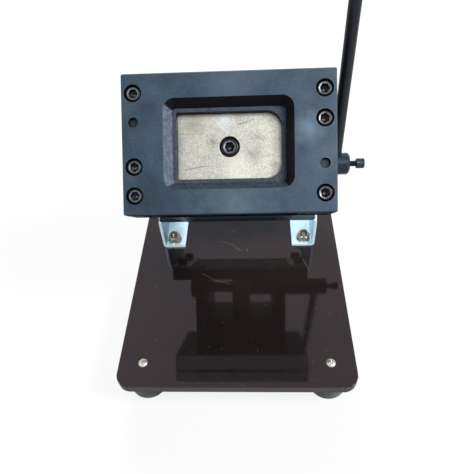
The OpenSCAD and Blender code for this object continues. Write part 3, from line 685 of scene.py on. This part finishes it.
def dressPiece(node, *materials, edgeRound, cornerRound=None, region=None, angle=32.0):
    # The node's own shape as one joined mesh, its edges slightly rounded, and the corners that run through
    # a plate rounded more. Region gives a face's material from its middle and its normal.
    mesh = nodes[node].data.copy()
    mesh.attributes.remove(mesh.attributes["custom_normal"])
    mesh.materials.clear()
    shell = weldedShell(mesh)
    flat = math.radians(dressing["flat"])
    bmesh.ops.dissolve_limit(shell, angle_limit=flat, verts=shell.verts, edges=shell.edges)
    for face in shell.faces:
        face.material_index = region(face.calc_center_median(), face.normal) if region else 0
    if cornerRound:
        corners = [edge for edge in shell.edges if isPlateCorner(edge)]
        bmesh.ops.bevel(shell, geom=corners, offset=cornerRound, segments=dressing["cornerSteps"],
                        profile=0.5, affect="EDGES")
    shell.to_mesh(mesh)
    shell.free()
    piece = keepPiece(node + "_dressed", mesh, angle)
    rounding = piece.modifiers.new("rounding", "BEVEL")
    rounding.width = edgeRound
    rounding.segments = dressing["edgeSteps"]
    rounding.limit_method = "ANGLE"
    rounding.angle_limit = math.radians(angle)
    rounding.harden_normals = True
    finishPiece(piece, node, *materials)


# The board: a glossy laminate with a plain sawn edge
board = {
    "tones": (rgb(22, 18, 16), rgb(33, 27, 25)), "cloud": (22.0, 1.4), "edgeRound": 0.6 * mm,
    "gloss": (0.035, 0.09), "smear": (9.0, 2.6), "waves": 60.0, "waveDepth": 0.02 * mm,
    "scuffTone": rgb(104, 100, 104), "speckTone": rgb(140, 136, 132), "fineScale": 420.0, "fineAmount": 0.06,
    "fineStrength": 0.4, "curl": 0.03, "tint": (0.8, 0.68, 0.82, 1.0), "shaded": (0.2, 0.42, 0.58, 1.0),
    "shadows": [(-49.4, 74.4, 66), (-9.0, 75.2, 66), (31.2, 76.1, 66)], "shadowStrength": 0.9,
    "marks": [(-7.8, 50.8, -6.4, 54.7, 0.21), (-6.4, 54.7, -2.3, 53.5, 0.21),
              (-22.1, 36.1, -15.9, 33.2, 0.18), (-15.9, 33.2, -6.6, 29.8, 0.27),
              (-6.6, 29.8, 3.4, 20.1, 0.24), (-5.7, 25.0, 1.8, 20.7, 0.21), (-9.8, 71.7, -5.9, 69.8, 0.21),
              (-18.7, 52.7, -17.1, 54.9, 0.18), (-39.6, -13.9, -25.5, -23.6, 0.17),
              (-25.5, -23.6, -8.2, -29.0, 0.17), (74.0, 6.7, 80.3, -10.2, 0.21),
              (10.5, 22.6, 10.7, 19.5, 0.36), (48.5, 61.6, 55.4, 56.3, 0.18)],
    "markTone": rgb(150, 152, 158), "markStrength": 0.45, "edgeTones": (rgb(31, 29, 26), rgb(62, 58, 52)),
    "layers": 1400.0, "layerStretch": (0.03, 0.03, 1.0), "layerDepth": 0.1 * mm, "layerShare": 0.55,
    "saw": (90.0, 1.8)}


def makeBoardTop():
    material, tree, shader, where = newMaterial("phenolicBoard", IOR=1.5)
    color = addMix(tree, addCloud(tree, where, *board["cloud"]), *board["tones"])
    fine = {"Vector": where, "Scale": board["fineScale"], "Amount": board["fineAmount"]}
    scuff, speck = useGroup(tree, "scratches", **fine, Curl=board["curl"]), useGroup(tree, "dust", **fine)
    color = paintOn(tree, color, scuff, board["fineStrength"], board["scuffTone"])
    color = paintOn(tree, color, speck, board["fineStrength"], board["speckTone"])
    color = addMarks(tree, where, color, board["marks"], board["markTone"], board["markStrength"])
    shadows = [(*spot, board["shadowStrength"], board["shaded"]) for spot in board["shadows"]]
    tint = addSpots(tree, where, board["tint"], shadows)
    smear = addRange(tree, addCloud(tree, where, *board["smear"]), *finish["middle"], *board["gloss"])
    for name, value in (("Base Color", color), ("Specular Tint", tint), ("Roughness", smear)):
        tree.links.new(value, shader.inputs[name])
    addBump(tree, shader, addNoise(tree, where, board["waves"], 2), board["waveDepth"])
    return material


def makeBoardEdge():
    # the paper layers of the laminate run along its edge
    material, tree, shader, where = newMaterial("laminateEdge", Roughness=0.6)
    share = board["layerShare"]
    stretched = addVectorMath(tree, "MULTIPLY", where, board["layerStretch"])
    layers = addRange(tree, addNoise(tree, stretched, board["layers"], 3, 0.7), 0.35, 0.65)
    saw = addCloud(tree, where, *board["saw"])
    both = addMath(tree, "MULTIPLY_ADD", layers, share, addMath(tree, "MULTIPLY", saw, 1 - share))
    tree.links.new(addMix(tree, both, *board["edgeTones"]), shader.inputs["Base Color"])
    addBump(tree, shader, layers, board["layerDepth"])
    return material


def boardRegion(middle, normal):
    # 0 above and below, 1 on the sawn edge
    return 0 if abs(normal.z) > 0.7 else 1


dressPiece("board", makeBoardTop(), makeBoardEdge(), edgeRound=board["edgeRound"], region=boardRegion)

# The feet: grey rubber cones with a lip and a pocket for the nut
feet = {
    "shader": {"Specular IOR Level": 0.3}, "tones": (rgb(100, 102, 105), rgb(128, 128, 128)),
    "cloud": (120.0, 1.8), "rough": (0.5, 0.68), "dust": 0.12, "edge": (rgb(150, 151, 152), 1.0 * mm, 0.4),
    "pocket": 8 * mm, "pocketTop": 22 * mm, "pocketLip": 0.6 * mm, "hole": 2.9 * mm, "lip": 2 * mm,
    "shoulder": 1.2 * mm, "topRadius": 16 * mm}


def footProfile(low, high):
    wide, tall, lip, shoulder = (high.x - low.x) / 2, high.z - low.z, feet["lip"], feet["shoulder"]
    topFlat, pocket, small = feet["topRadius"] - shoulder, feet["pocket"], feet["pocketLip"]
    return ([(feet["hole"], tall), (topFlat, tall)] + arc(topFlat, tall - shoulder, shoulder, 80, 5, 5)
            + arc(wide - lip, lip, lip, 5, -90, 8) + arc(pocket + small, small, small, 270, 180, 4)
            + [(pocket, feet["pocketTop"]), (feet["hole"], feet["pocketTop"])])


footBoxes = solidsOf("rubber_feet", upright)
footPlaces = [Matrix.Translation(((a.x + b.x) / 2, (a.y + b.y) / 2, a.z)) for a, b in footBoxes]
footRubber = makeFinish("footRubber", feet, False)
turnPiece("rubber_feet", footRubber, footProfile(*footBoxes[0]), footPlaces, closed=True)
print("board and feet made")

# Fasteners
brightSteel = makeFinish("brightSteel", {
    "shader": {"Metallic": 0.85}, "tones": (rgb(168, 168, 160), rgb(214, 213, 204)), "cloud": (160.0, 2.0),
    "rough": (0.18, 0.34), "edge": (rgb(236, 236, 230), 0.25 * mm, 0.5)}, False)
nutSteel = makeFinish("nutSteel", {
    "shader": {"Metallic": 0.75}, "tones": (rgb(126, 128, 122), rgb(204, 204, 196)), "cloud": (220.0, 2.4),
    "rough": (0.2, 0.36), "stain": (rgb(110, 96, 72), 150.0, 0.35),
    "edge": (rgb(206, 204, 190), 0.4 * mm, 0.6)}, False)
yellowZinc = makeFinish("yellowZinc", {
    "shader": {"Metallic": 0.85}, "tones": (rgb(70, 58, 48), rgb(176, 160, 134)), "cloud": (200.0, 2.6),
    "rough": (0.14, 0.3), "stain": (rgb(52, 34, 26), 120.0, 0.6),
    "edge": (rgb(232, 226, 212), 0.3 * mm, 0.5)}, False)
blackOxide = makeFinish("blackOxide", {
    "shader": {"Specular IOR Level": 0.2}, "tones": (rgb(7, 8, 10), rgb(18, 20, 24)), "cloud": (230.0, 2.2),
    "rough": (0.3, 0.44), "edge": (rgb(52, 56, 62), 0.3 * mm, 0.4), "dust": 0.08})
bluedScrew = makeFinish("bluedScrew", {
    "shader": {"Specular IOR Level": 0.35}, "tones": (rgb(22, 30, 39), rgb(46, 58, 71)),
    "cloud": (230.0, 2.2), "rough": (0.28, 0.4), "edge": (rgb(92, 106, 120), 0.3 * mm, 0.4)})
# bright metal for the painted highlight ring and glint in the screws' sockets
wornRim = makeFinish("wornRim", {
    "shader": {"Metallic": 0.8}, "tones": (rgb(58, 64, 70), rgb(112, 118, 124)), "cloud": (260.0, 2.0),
    "rough": (0.3, 0.42)})

footScrews = {
    "Head Height": 2.5 * mm, "Edge Width": 4.4 * mm, "Edge Height": 2.2 * mm, "Cross Reach": 4.75 * mm,
    "Cross Width": 1.1 * mm, "Cross Depth": 1.75 * mm, "Thread": 5 * mm, "Thread Length": 9 * mm,
    "Thread Rows": 90, "Thread Depth": 0.45 * mm, "Pitch": 0.8 * mm, "Tip Width": 3.6 * mm,
    "Tip Height": 0.5 * mm, "Segments": 48, "Seed": 4}
bracketBolts = {
    "Head Height": 5.28 * mm, "Edge Width": 1.5 * mm, "Edge Height": 0.8 * mm, "Side": 1.0, "Thread": 8 * mm,
    "Thread Length": 13.4 * mm, "Thread Rows": 110, "Thread Depth": 0.7 * mm, "Pitch": 1.25 * mm,
    "Tip Width": 3.4 * mm, "Tip Height": 1.5 * mm, "Segments": 72, "Seed": 7}
socketScrews = {
    "Head Width": 12.5 * mm, "Head Height": 8 * mm, "Edge Width": 1.4 * mm, "Edge Height": 1.6 * mm,
    "Side": 2.0, "Knurl Depth": 0.22 * mm, "Key Width": 6.8 * mm, "Key Depth": 5.4 * mm, "Thread": 8 * mm,
    "Tip Width": 6.4 * mm}
punchScrew = {
    "Head Height": 10 * mm, "Edge Width": 2 * mm, "Edge Height": 2 * mm, "Side": 2.0,
    "Knurl Depth": 0.25 * mm, "Key Width": 7.6 * mm, "Key Depth": 6.4 * mm, "Thread": 10 * mm,
    "Tip Width": 8 * mm, "Seed": 5}
lockScrew = {
    "Head Height": 8 * mm, "Edge Width": 0.5 * mm, "Edge Height": 0.5 * mm, "Side": 2.0,
    "Knurl Depth": 0.2 * mm, "Key Width": 4.8 * mm, "Key Depth": 3.6 * mm, "Thread": 6 * mm,
    "Thread Length": 15 * mm, "Thread Rows": 135, "Thread Depth": 0.55 * mm, "Pitch": 1.0 * mm,
    "Tip Width": 4.6 * mm, "Tip Height": 0.5 * mm, "Segments": 72, "Seed": 2}
addScrews("foot_screws", upright, brightSteel, footScrews)
addScrews("bracket_bolts", flip, yellowZinc, bracketBolts)
for node, space, seed in (("flange_screws", pressFrame @ flip, 11), ("tie_screws", pressFrame @ flip, 12),
                          ("guide_screws", pressFrame, 13), ("die_screws", pressFrame, 14)):
    addScrews(node, space, blackOxide, {**socketScrews, "Seed": seed}, wornRim)
addScrews("punch_screw", pressFrame, blackOxide, punchScrew, wornRim)
addScrews("lock_screw", sideways, bluedScrew, lockScrew, wornRim)

nuts = {"Side": 1.0, "Segments": 72, "Seed": 3}
addRings("foot_nuts", brightSteel, {
    **nuts, "Bore": 4.2 * mm, "Edge Width": 0.95 * mm, "Edge Height": 0.55 * mm, "Sink": 0.4 * mm})
addRings("bracket_nuts", nutSteel, {
    **nuts, "Bore": 6.8 * mm, "Edge Width": 1.5 * mm, "Edge Height": 0.85 * mm, "Sink": 0.7 * mm})
addRings("foot_washers", brightSteel, {"Bore": 5.8 * mm, "Edge Width": 0.15 * mm, "Edge Height": 0.15 * mm})
addRings("bracket_washers", nutSteel, {"Bore": 8.8 * mm, "Edge Width": 0.2 * mm, "Edge Height": 0.2 * mm})
print("fasteners grown")

# The brackets: bright zinc plate with a bluish cast
brackets = {
    "shader": {"Metallic": 0.3}, "tones": (rgb(184, 222, 236), rgb(226, 246, 250)), "cloud": (46.0, 1.8),
    "rough": (0.42, 0.26), "grain": (1500.0, (1, 1, 0.04), 0.012 * mm, 0.1),
    "scratch": (rgb(120, 134, 142), 480.0), "edge": (rgb(240, 246, 248), 0.5 * mm, 0.5)}
zincSheet = makeFinish("zincSheet", brackets, False)
# the same zinc, darker, as painted shade on the webs' inner sides
zincWeb = makeFinish("zincWeb", {**brackets, "tones": (rgb(120, 168, 194), rgb(160, 204, 224))}, False)


def bracketRegion(middle, normal):
    # 1 on the sides of the webs that face each other, in painted shade, 0 elsewhere
    return 1 if middle.x * normal.x < 0 and abs(normal.x) > 0.7 else 0


for node in ("left_bracket", "right_bracket"):
    dressPiece(node, zincSheet, zincWeb, edgeRound=0.3 * mm, region=bracketRegion, angle=36.0)

# The press's plates: ground steel, blued nearly black
bluedSteel = {
    "shader": {"Specular IOR Level": 0.3, "Specular Tint": (0.72, 0.86, 1.0, 1.0)},
    "tones": (rgb(36, 50, 64), rgb(78, 97, 114)), "cloud": (40.0, 2.8), "rough": (0.52, 0.36),
    "stain": (rgb(48, 62, 76), 300.0, 0.35), "grain": (2600.0, (0.05, 1, 1), 0.01 * mm, 0.12),
    "scratch": (rgb(120, 136, 150), 520.0), "edge": (rgb(104, 120, 134), 0.5 * mm, 0.35), "dust": 0.03}
bluedBlock = {**bluedSteel, "tones": (rgb(30, 40, 52), rgb(58, 72, 88))}
groundSteel = {
    **bluedSteel, "shader": {"Metallic": 0.85}, "tones": (rgb(152, 158, 174), rgb(204, 210, 224)),
    # the along tone is a painted shade where the ground edge is seen along its length
    "rough": (0.2, 0.34), "edge": (rgb(166, 170, 176), 0.5 * mm, 0.35), "grazingShadeTone": rgb(12, 15, 20),
    "along": (0.55, 0.85)}
# spots: the light ones are painted sheen, the dark ones to the left and low painted shade, the smallest a pit
plateFaceSheenAndShade = {
    **bluedSteel, "spots": [
        (63, 10, 20, 0.6, rgb(124, 148, 168)), (4, -47, 46, 0.5, rgb(112, 127, 142)),
        (4, 48, 44, 0.4, rgb(104, 122, 138)), (-66, -46, 34, 0.8, rgb(34, 46, 60)),
        (-82, 14, 12, 0.5, rgb(44, 58, 72)), (60, -46, 18, 0.3, rgb(52, 66, 80)),
        (-78.7, -1.6, 1.4, 1.0, rgb(16, 20, 26))]}
plates = {"edgeRound": 0.35 * mm, "cornerRound": 0.68 * mm}
bluedPlate = makeFinish("bluedPlate", bluedBlock)


def makeGroundEdge():
    # ground bright, but dark where it is seen along its length: a painted shade
    material = makeFinish("groundEdge", groundSteel)
    tree = material.node_tree
    sockets = tree.nodes["Principled BSDF"].inputs
    facing = addNode(tree, "ShaderNodeLayerWeight", {"Blend": 0.5}).outputs["Facing"]
    share = addRange(tree, facing, *groundSteel["along"])
    bright = sockets["Base Color"].links[0].from_socket
    tree.links.new(addMix(tree, share, bright, groundSteel["grazingShadeTone"]), sockets["Base Color"])
    for name in ("Metallic", "Specular IOR Level"):
        tree.links.new(addRange(tree, share, 0.0, 1.0, sockets[name].default_value, 0.0), sockets[name])
    return material


def plateRegion(node):
    # 1 on the long edge that faces the operator and the board, which is ground bright, 0 elsewhere
    lowEdge = boxIn(cornersOf(node), pressFrame)[0].y + 0.1 * mm
    back = pressFrame.inverted()
    return lambda middle, normal: 1 if (back @ middle).y < lowEdge else 0


groundEdge = makeGroundEdge()
for node in ("rear_plate", "left_cheek", "right_cheek", "guide_block"):
    dressPiece(node, bluedPlate, **plates)
dressPiece("shaft_collar", bluedPlate, edgeRound=plates["edgeRound"])
dressPiece("guide_plate", bluedPlate, groundEdge, **plates, region=plateRegion("guide_plate"))

# The die plate: the walls and the ledge of its recess keep the cutter's marks
recess = {
    "reachX": 52.5 * mm, "reachY": 36.5 * mm, "depth": 9 * mm, "boreReach": 7.3 * mm, "skin": 0.02 * mm,
    "slack": 0.1 * mm, "upright": 0.5, "level": 0.95, "turnedAway": -0.4}
milled = {
    "shader": {"Specular IOR Level": 0.12, "Specular Tint": (0.8, 0.88, 1.0, 1.0)}, "cloud": (330.0, 3.4),
    "rough": (0.6, 0.42), "stainScale": 210.0, "stainAmount": 0.4, "lines": 1300.0, "depth": 0.03 * mm}


def makeMilled(name, dark, light, stain, stretch, contrast=0.2):
    return makeFinish(name, {
        **milled, "tones": (rgb(*dark), rgb(*light)),
        "stain": (rgb(*stain), milled["stainScale"], milled["stainAmount"]),
        "grain": (milled["lines"], stretch, milled["depth"], contrast)})


endWall = makeMilled("milledEndWall", (54, 64, 74), (114, 127, 141), (112, 104, 118), (0.05, 1, 0.05))
longWall = makeMilled("milledLongWall", (34, 42, 51), (74, 86, 99), (52, 60, 74), (1, 0.05, 0.05))
recessFloor = makeMilled("milledFloor", (50, 58, 68), (86, 94, 107), (72, 76, 94), (0.2, 0.2, 1), 0.12)
# near black: painted shade on the recess walls that face down or left, the cut opening and the bores
oiledSteel = makeMilled("oiledSteel", (9, 11, 14), (22, 25, 31), (34, 28, 26), (1, 1, 1))
dieLow = plateRegion("die_plate")
bored = solidsOf("die_screws", pressFrame) + solidsOf("dowel_pins", pressFrame)
bores = [(low + high) / 2 for low, high in bored]


def dieRegion(middle, normal):
    # 0 the plate, 1 the recess's left wall, 2 its lower wall, 3 the ledge, 4 the ground edge, 5 painted shade
    back = pressFrame.inverted()
    at, out = back @ middle, back.to_3x3() @ normal
    inBore = any((at - bore).xy.length < recess["boreReach"] for bore in bores)
    if inBore and abs(out.z) < recess["upright"]:
        return 5
    inRecess = abs(at.x) < recess["reachX"] and abs(at.y) < recess["reachY"]
    if not inRecess or at.z > -recess["skin"]:
        return 4 * dieLow(middle, normal)
    if out.z > recess["level"]:
        return 3
    if at.z < -recess["depth"] - recess["slack"] or min(out.x, out.y) < recess["turnedAway"]:
        return 5
    return 1 if out.x > out.y else 2


bluedFace = makeFinish("bluedFace", plateFaceSheenAndShade)
dressPiece("die_plate", bluedFace, endWall, longWall, recessFloor, groundEdge, oiledSteel, **plates,
           region=dieRegion)
print("plates dressed")

# The punch: bare steel, stained and scratched by use, with a painted reflection and a painted highlight
punch = {
    "tones": (rgb(146, 145, 136), rgb(212, 213, 209)), "cloud": (900.0, 5.0), "rough": (0.34, 0.5),
    "stain": (rgb(176, 174, 160), 90.0, 0.6), "stainContrast": 3.6,
    "edge": (rgb(234, 236, 232), 0.7 * mm, 0.7),
    # the bluish spots at the left are a painted reflection of the recess wall, the pale one above a painted
    # highlight
    "spots": [(-29, 19, 14, 0.7, rgb(146, 142, 122)), (-13.6, 4.4, 9, 0.8, rgb(138, 134, 116)),
              (20, -7, 13, 0.7, rgb(152, 149, 132)), (24, 6.5, 10, 0.6, rgb(150, 148, 134)),
              (-3.6, 22, 14, 0.6, rgb(216, 224, 228)), (37, -15.5, 6, 0.7, rgb(150, 144, 118)),
              (-44, 4, 11, 0.9, rgb(146, 158, 170)), (-45, -14, 10, 0.8, rgb(146, 158, 170)),
              (6, -20, 20, 0.4, rgb(232, 232, 224))],
    "marks": [(-37.3, -18.1, -25.1, -16.1, 0.8), (-25.1, -16.1, -16.5, -15.1, 0.6),
              (7.9, 18.1, 14.3, 19.6, 1.0), (14.3, 19.6, 20.5, 21.8, 0.55), (20.8, 9.2, 28, 4.4, 0.6),
              (27.6, 7.4, 30.5, 5, 0.5), (30, -8, 34, -6, 0.4), (-15, 6, -12.5, 3.5, 0.8),
              (15, -4, 19, -7.5, 0.5), (31, -14, 35, -17, 0.35), (-18, -9, -14, -6, 0.3),
              (-26, 9, -20, 12.5, 0.25)],
    "markTone": rgb(104, 98, 84), "markStrength": 0.55, "grain": (1800.0, (1, 0.06, 1), 0.008 * mm),
    "fine": (("scratches", 600.0, 0.22, 0.3), ("dust", 700.0, 0.3, 0.4))}      # scale, amount, strength


def makePunchFace():
    material, tree, shader, where = newMaterial("punchSteel", True, Metallic=0.7)
    use = partial(useGroup, tree, Vector=where)
    color = addMix(tree, addCloud(tree, where, *punch["cloud"]), *punch["tones"])
    tone, scale, amount = punch["stain"]
    patch = addCloud(tree, where, scale, punch["stainContrast"])
    color = paintOn(tree, color, patch, amount, tone)
    color = addSpots(tree, where, color, punch["spots"])
    color = addMarks(tree, where, color, punch["marks"], punch["markTone"], punch["markStrength"])
    for effect, scale, amount, strength in punch["fine"]:
        color = paintOn(tree, color, use(effect, Scale=scale, Amount=amount), strength, punch["markTone"])
    tone, radius, amount = punch["edge"]
    color = addMix(tree, use("edgeWear", Radius=radius, Amount=amount), color, tone)
    tree.links.new(color, shader.inputs["Base Color"])
    tree.links.new(addRange(tree, patch, *finish["middle"], *punch["rough"]), shader.inputs["Roughness"])
    lines, stretch, depth = punch["grain"]
    addBump(tree, shader, use("grain", Lines=lines, Stretch=stretch), depth)
    return material


dressPiece("punch", makePunchFace(), edgeRound=0.3 * mm)
ram = {
    "shader": {"Metallic": 0.85}, "tones": (rgb(104, 105, 105), rgb(150, 150, 148)), "cloud": (60.0, 2.0),
    "rough": (0.28, 0.42), "stain": (rgb(66, 60, 50), 30.0, 0.35),
    "edge": (rgb(176, 176, 172), 0.4 * mm, 0.5), "grain": (2400.0, (0.04, 1, 1), 0.01 * mm, 0.12)}
dressPiece("ram", makeFinish("ramSteel", ram), edgeRound=0.3 * mm)
spacers = {
    "shader": {"Metallic": 0.8}, "tones": (rgb(128, 130, 130), rgb(176, 177, 174)), "cloud": (70.0, 2.0),
    "rough": (0.26, 0.4), "grain": (2200.0, (0.04, 1, 1), 0.01 * mm, 0.1)}
bushes = {
    "shader": {"Metallic": 0.95}, "tones": (rgb(146, 100, 52), rgb(204, 156, 92)), "cloud": (150.0, 2.2),
    "rough": (0.22, 0.4), "stain": (rgb(70, 46, 26), 60.0, 0.4), "edge": (rgb(230, 192, 130), 0.4 * mm, 0.6)}
spacerSteel, bronze = makeFinish("spacerSteel", spacers), makeFinish("bronze", bushes)
for kind, material, edgeRound in (("spacer", spacerSteel, 0.1 * mm), ("bush", bronze, 0.2 * mm)):
    for side in ("left_", "right_"):
        dressPiece(side + kind, material, edgeRound=edgeRound)
dressPiece("collar_screw", blackOxide, edgeRound=0.1 * mm)
pins = {**bluedBlock, "tones": (rgb(13, 17, 23), rgb(36, 44, 54))}
dressPiece("dowel_pins", makeFinish("pinSteel", pins), edgeRound=0.1 * mm)
print("punch, ram and bushes dressed")

# The shaft, the lever and its knob
shaft = {**bluedSteel, "tones": (rgb(18, 24, 32), rgb(40, 50, 62)), "rough": (0.42, 0.3)}
dressPiece("eccentric_shaft", makeFinish("bluedShaft", shaft), edgeRound=0.2 * mm)
lever = {
    "shader": {"Specular IOR Level": 0.25}, "tones": (rgb(13, 17, 22), rgb(30, 37, 44)), "cloud": (70.0, 2.2),
    "rough": (0.34, 0.48), "grain": (1500.0, (1, 1, 0.05), 0.01 * mm, 0.12),
    "scratch": (rgb(84, 92, 98), 520.0), "edge": (rgb(90, 96, 100), 0.5 * mm, 0.5),
    "footRound": 0.4 * mm, "endRound": 1.2 * mm}
leverFrame = rodOf("lever")
leverTop = boxIn(cornersOf("lever"), leverFrame)[1]
footRound, endRound = lever["footRound"], lever["endRound"]
leverProfile = ([(0, 0)] + arc(leverTop.x - footRound, footRound, footRound, -90, 0, 3)
                + arc(leverTop.x - endRound, leverTop.z - endRound, endRound, 0, 90, 6) + [(0, leverTop.z)])
turnPiece("lever", makeFinish("leverBlack", lever, False), leverProfile, [leverFrame], 64)
knob = {
    "shader": {"Specular IOR Level": 0.3, "Coat Weight": 0.12}, "tones": (rgb(8, 8, 9), rgb(17, 17, 19)),
    "cloud": (60.0, 1.6), "rough": (0.12, 0.24), "scratch": (rgb(60, 60, 62), 500.0), "dust": 0.06,
    "neck": 9 * mm, "neckRound": 0.6 * mm, "bore": 5.52 * mm, "boreRound": 0.4 * mm, "boreDepth": 22.5 * mm}
knobLow, knobHigh = boxIn(cornersOf("lever_knob"), leverFrame)
base, boreTop, ball = knobLow.z, knobLow.z + knob["boreDepth"], knobHigh.x
bore, boreRound, neck, neckRound = knob["bore"], knob["boreRound"], knob["neck"], knob["neckRound"]
knobProfile = ([(0, boreTop), (bore, boreTop)]
               + arc(bore + boreRound, base + boreRound, boreRound, 180, 270, 4)
               + arc(neck - neckRound, base + neckRound, neckRound, -90, 0, 4)
               + arc(0, knobHigh.z - ball, ball, -math.degrees(math.acos(neck / ball)), 90, 40))
turnPiece("lever_knob", makeFinish("knobPlastic", knob, False), knobProfile, [leverFrame])
print("lever and knob turned")

# Stage, lights and camera
view = {
    "focal": 450.526, "centre": (232.568, 255.262), "size": 474,     # in the photograph's pixels
    "pitch": 49.0, "turn": -4.535, "roll": 4.116,                     # degrees
    "place": (20.567, -331.252, 407.398), "filmWidth": 36}            # mm
stage = {
    "reach": 6.0, "below": 0.2 * mm, "floorTone": 0.8, "floorBounce": 0.25, "floorGlow": 0.86,
    "fade": (0.3, 1.6), "ambient": 0.13, "aim": (0, 0, 0.12)}
# each lamp's place as seen from the aim, its size, and its level, where 1 shows a colour as written
lamps = {
    "key": {"from": (0.7, -0.25, 0.67), "away": 1.6, "size": 0.5, "level": 1.18},
    "sheen": {"from": (0.4, -0.5, 0.77), "away": 1.6, "size": 0.6, "level": 0.3, "onMatte": False},
    "fill": {"from": (-0.7, -0.3, 0.65), "away": 1.8, "size": 1.2, "level": 0.12},
    "back": {"from": (-0.1, 0.9, 0.4), "away": 1.8, "size": 1.0, "level": 1.7, "onGloss": False},
    "low": {"from": (-0.3, -0.8, 0.45), "away": 1.2, "size": 0.4, "level": 1.05,
            "only": ("left_bracket", "right_bracket", "bracket_nuts", "bracket_washers", "bracket_bolts")}}


def addCamera():
    pitch, turned, roll = (math.radians(view[key]) for key in ("pitch", "turn", "roll"))
    ahead = Vector((math.sin(turned) * math.cos(pitch), math.cos(turned) * math.cos(pitch), -math.sin(pitch)))
    level = Vector((math.cos(turned), -math.sin(turned), 0))
    down = ahead.cross(level)
    right = math.cos(roll) * level + math.sin(roll) * down
    up = math.sin(roll) * level - math.cos(roll) * down
    data = bpy.data.cameras.new("camera")
    data.sensor_width = view["filmWidth"]
    data.lens = view["focal"] * data.sensor_width / view["size"]
    data.shift_x = (view["size"] / 2 - view["centre"][0]) / view["size"]
    data.shift_y = (view["centre"][1] - view["size"] / 2) / view["size"]
    data.clip_start = 10 * mm
    camera = bpy.data.objects.new("camera", data)
    turned = Matrix((right, up, -ahead)).transposed().to_4x4()
    camera.matrix_world = Matrix.Translation(Vector(view["place"]) * mm) @ turned
    bpy.context.scene.collection.objects.link(camera)
    bpy.context.scene.camera = camera


def addLamp(name, look):
    # a round lamp, for the pieces whose names start as in only, or for all
    data = bpy.data.lights.new(name + "Lamp", "AREA")
    data.shape = "DISK"
    data.size = look["size"]
    data.energy = look["level"] * (math.pi * look["away"]) ** 2
    lamp = bpy.data.objects.new(name + "Lamp", data)
    away = Vector(look["from"]).normalized() * look["away"]
    lamp.location = Vector(stage["aim"]) + away
    lamp.rotation_mode = "QUATERNION"
    lamp.rotation_quaternion = (-away).to_track_quat("-Z", "Y")
    lamp.visible_diffuse = look.get("onMatte", True)
    lamp.visible_glossy = look.get("onGloss", True)
    bpy.context.scene.collection.objects.link(lamp)
    if "only" in look:
        lit = bpy.data.collections.new(name + "Lit")
        for piece in bpy.data.objects:
            if piece.name.startswith(look["only"]):
                lit.objects.link(piece)
        lamp.light_linking.receiver_collection = lit


def seenByEye(tree):
    # 1 for camera, mirror and see-through rays, 0 for the light that falls on things
    path = tree.nodes.new("ShaderNodeLightPath").outputs
    seen = addMath(tree, "MAXIMUM", path["Is Camera Ray"], path["Is Glossy Ray"])
    return addMath(tree, "MAXIMUM", seen, path["Is Transmission Ray"])


def addFloor():
    # a pale floor that throws little light back up, and fades into the white round it further out
    mesh = bpy.data.meshes.new("floor")
    reach, height = stage["reach"], cadBox[0].z - stage["below"]
    mesh.from_pydata([(x * reach, y * reach, height) for x, y in ((-1, -1), (1, -1), (1, 1), (-1, 1))], [],
                     [(0, 1, 2, 3)])
    floor = bpy.data.objects.new("floor", mesh)
    bpy.context.scene.collection.objects.link(floor)
    material = bpy.data.materials.new("paleFloor")
    material.use_nodes = True
    tree = material.node_tree
    tree.nodes.clear()
    seen = seenByEye(tree)
    tone = addRange(tree, seen, 0.0, 1.0, stage["floorBounce"], stage["floorTone"])
    grey = addNode(tree, "ShaderNodeCombineColor", {0: tone, 1: tone, 2: tone}).outputs[0]
    matte = addNode(tree, "ShaderNodeBsdfDiffuse", {"Color": grey}).outputs[0]
    glow = addNode(tree, "ShaderNodeEmission", {"Color": (1, 1, 1, 1), "Strength": 1.0}).outputs[0]
    place = tree.nodes.new("ShaderNodeTexCoord").outputs["Object"]
    away = addVectorMath(tree, "DISTANCE", place, (0, 0, 0))
    share = addMath(tree, "MULTIPLY", seen, addRange(tree, away, *stage["fade"], stage["floorGlow"], 1.0))
    shown = addNode(tree, "ShaderNodeMixShader", {0: share, 1: matte, 2: glow}).outputs[0]
    tree.links.new(shown, tree.nodes.new("ShaderNodeOutputMaterial").inputs["Surface"])
    mesh.materials.append(material)


def addBackdrop():
    # white all round, but dim as a source of light
    world = bpy.data.worlds.new("studio")
    bpy.context.scene.world = world
    world.use_nodes = True
    tree = world.node_tree
    background = tree.nodes["Background"].inputs
    background["Color"].default_value = (1, 1, 1, 1)
    tree.links.new(addRange(tree, seenByEye(tree), 0.0, 1.0, stage["ambient"], 1.0), background["Strength"])


addFloor()
addBackdrop()
addCamera()
for name, look in lamps.items():
    addLamp(name, look)
bpy.context.scene.view_settings.view_transform = "Standard"
print("stage set")
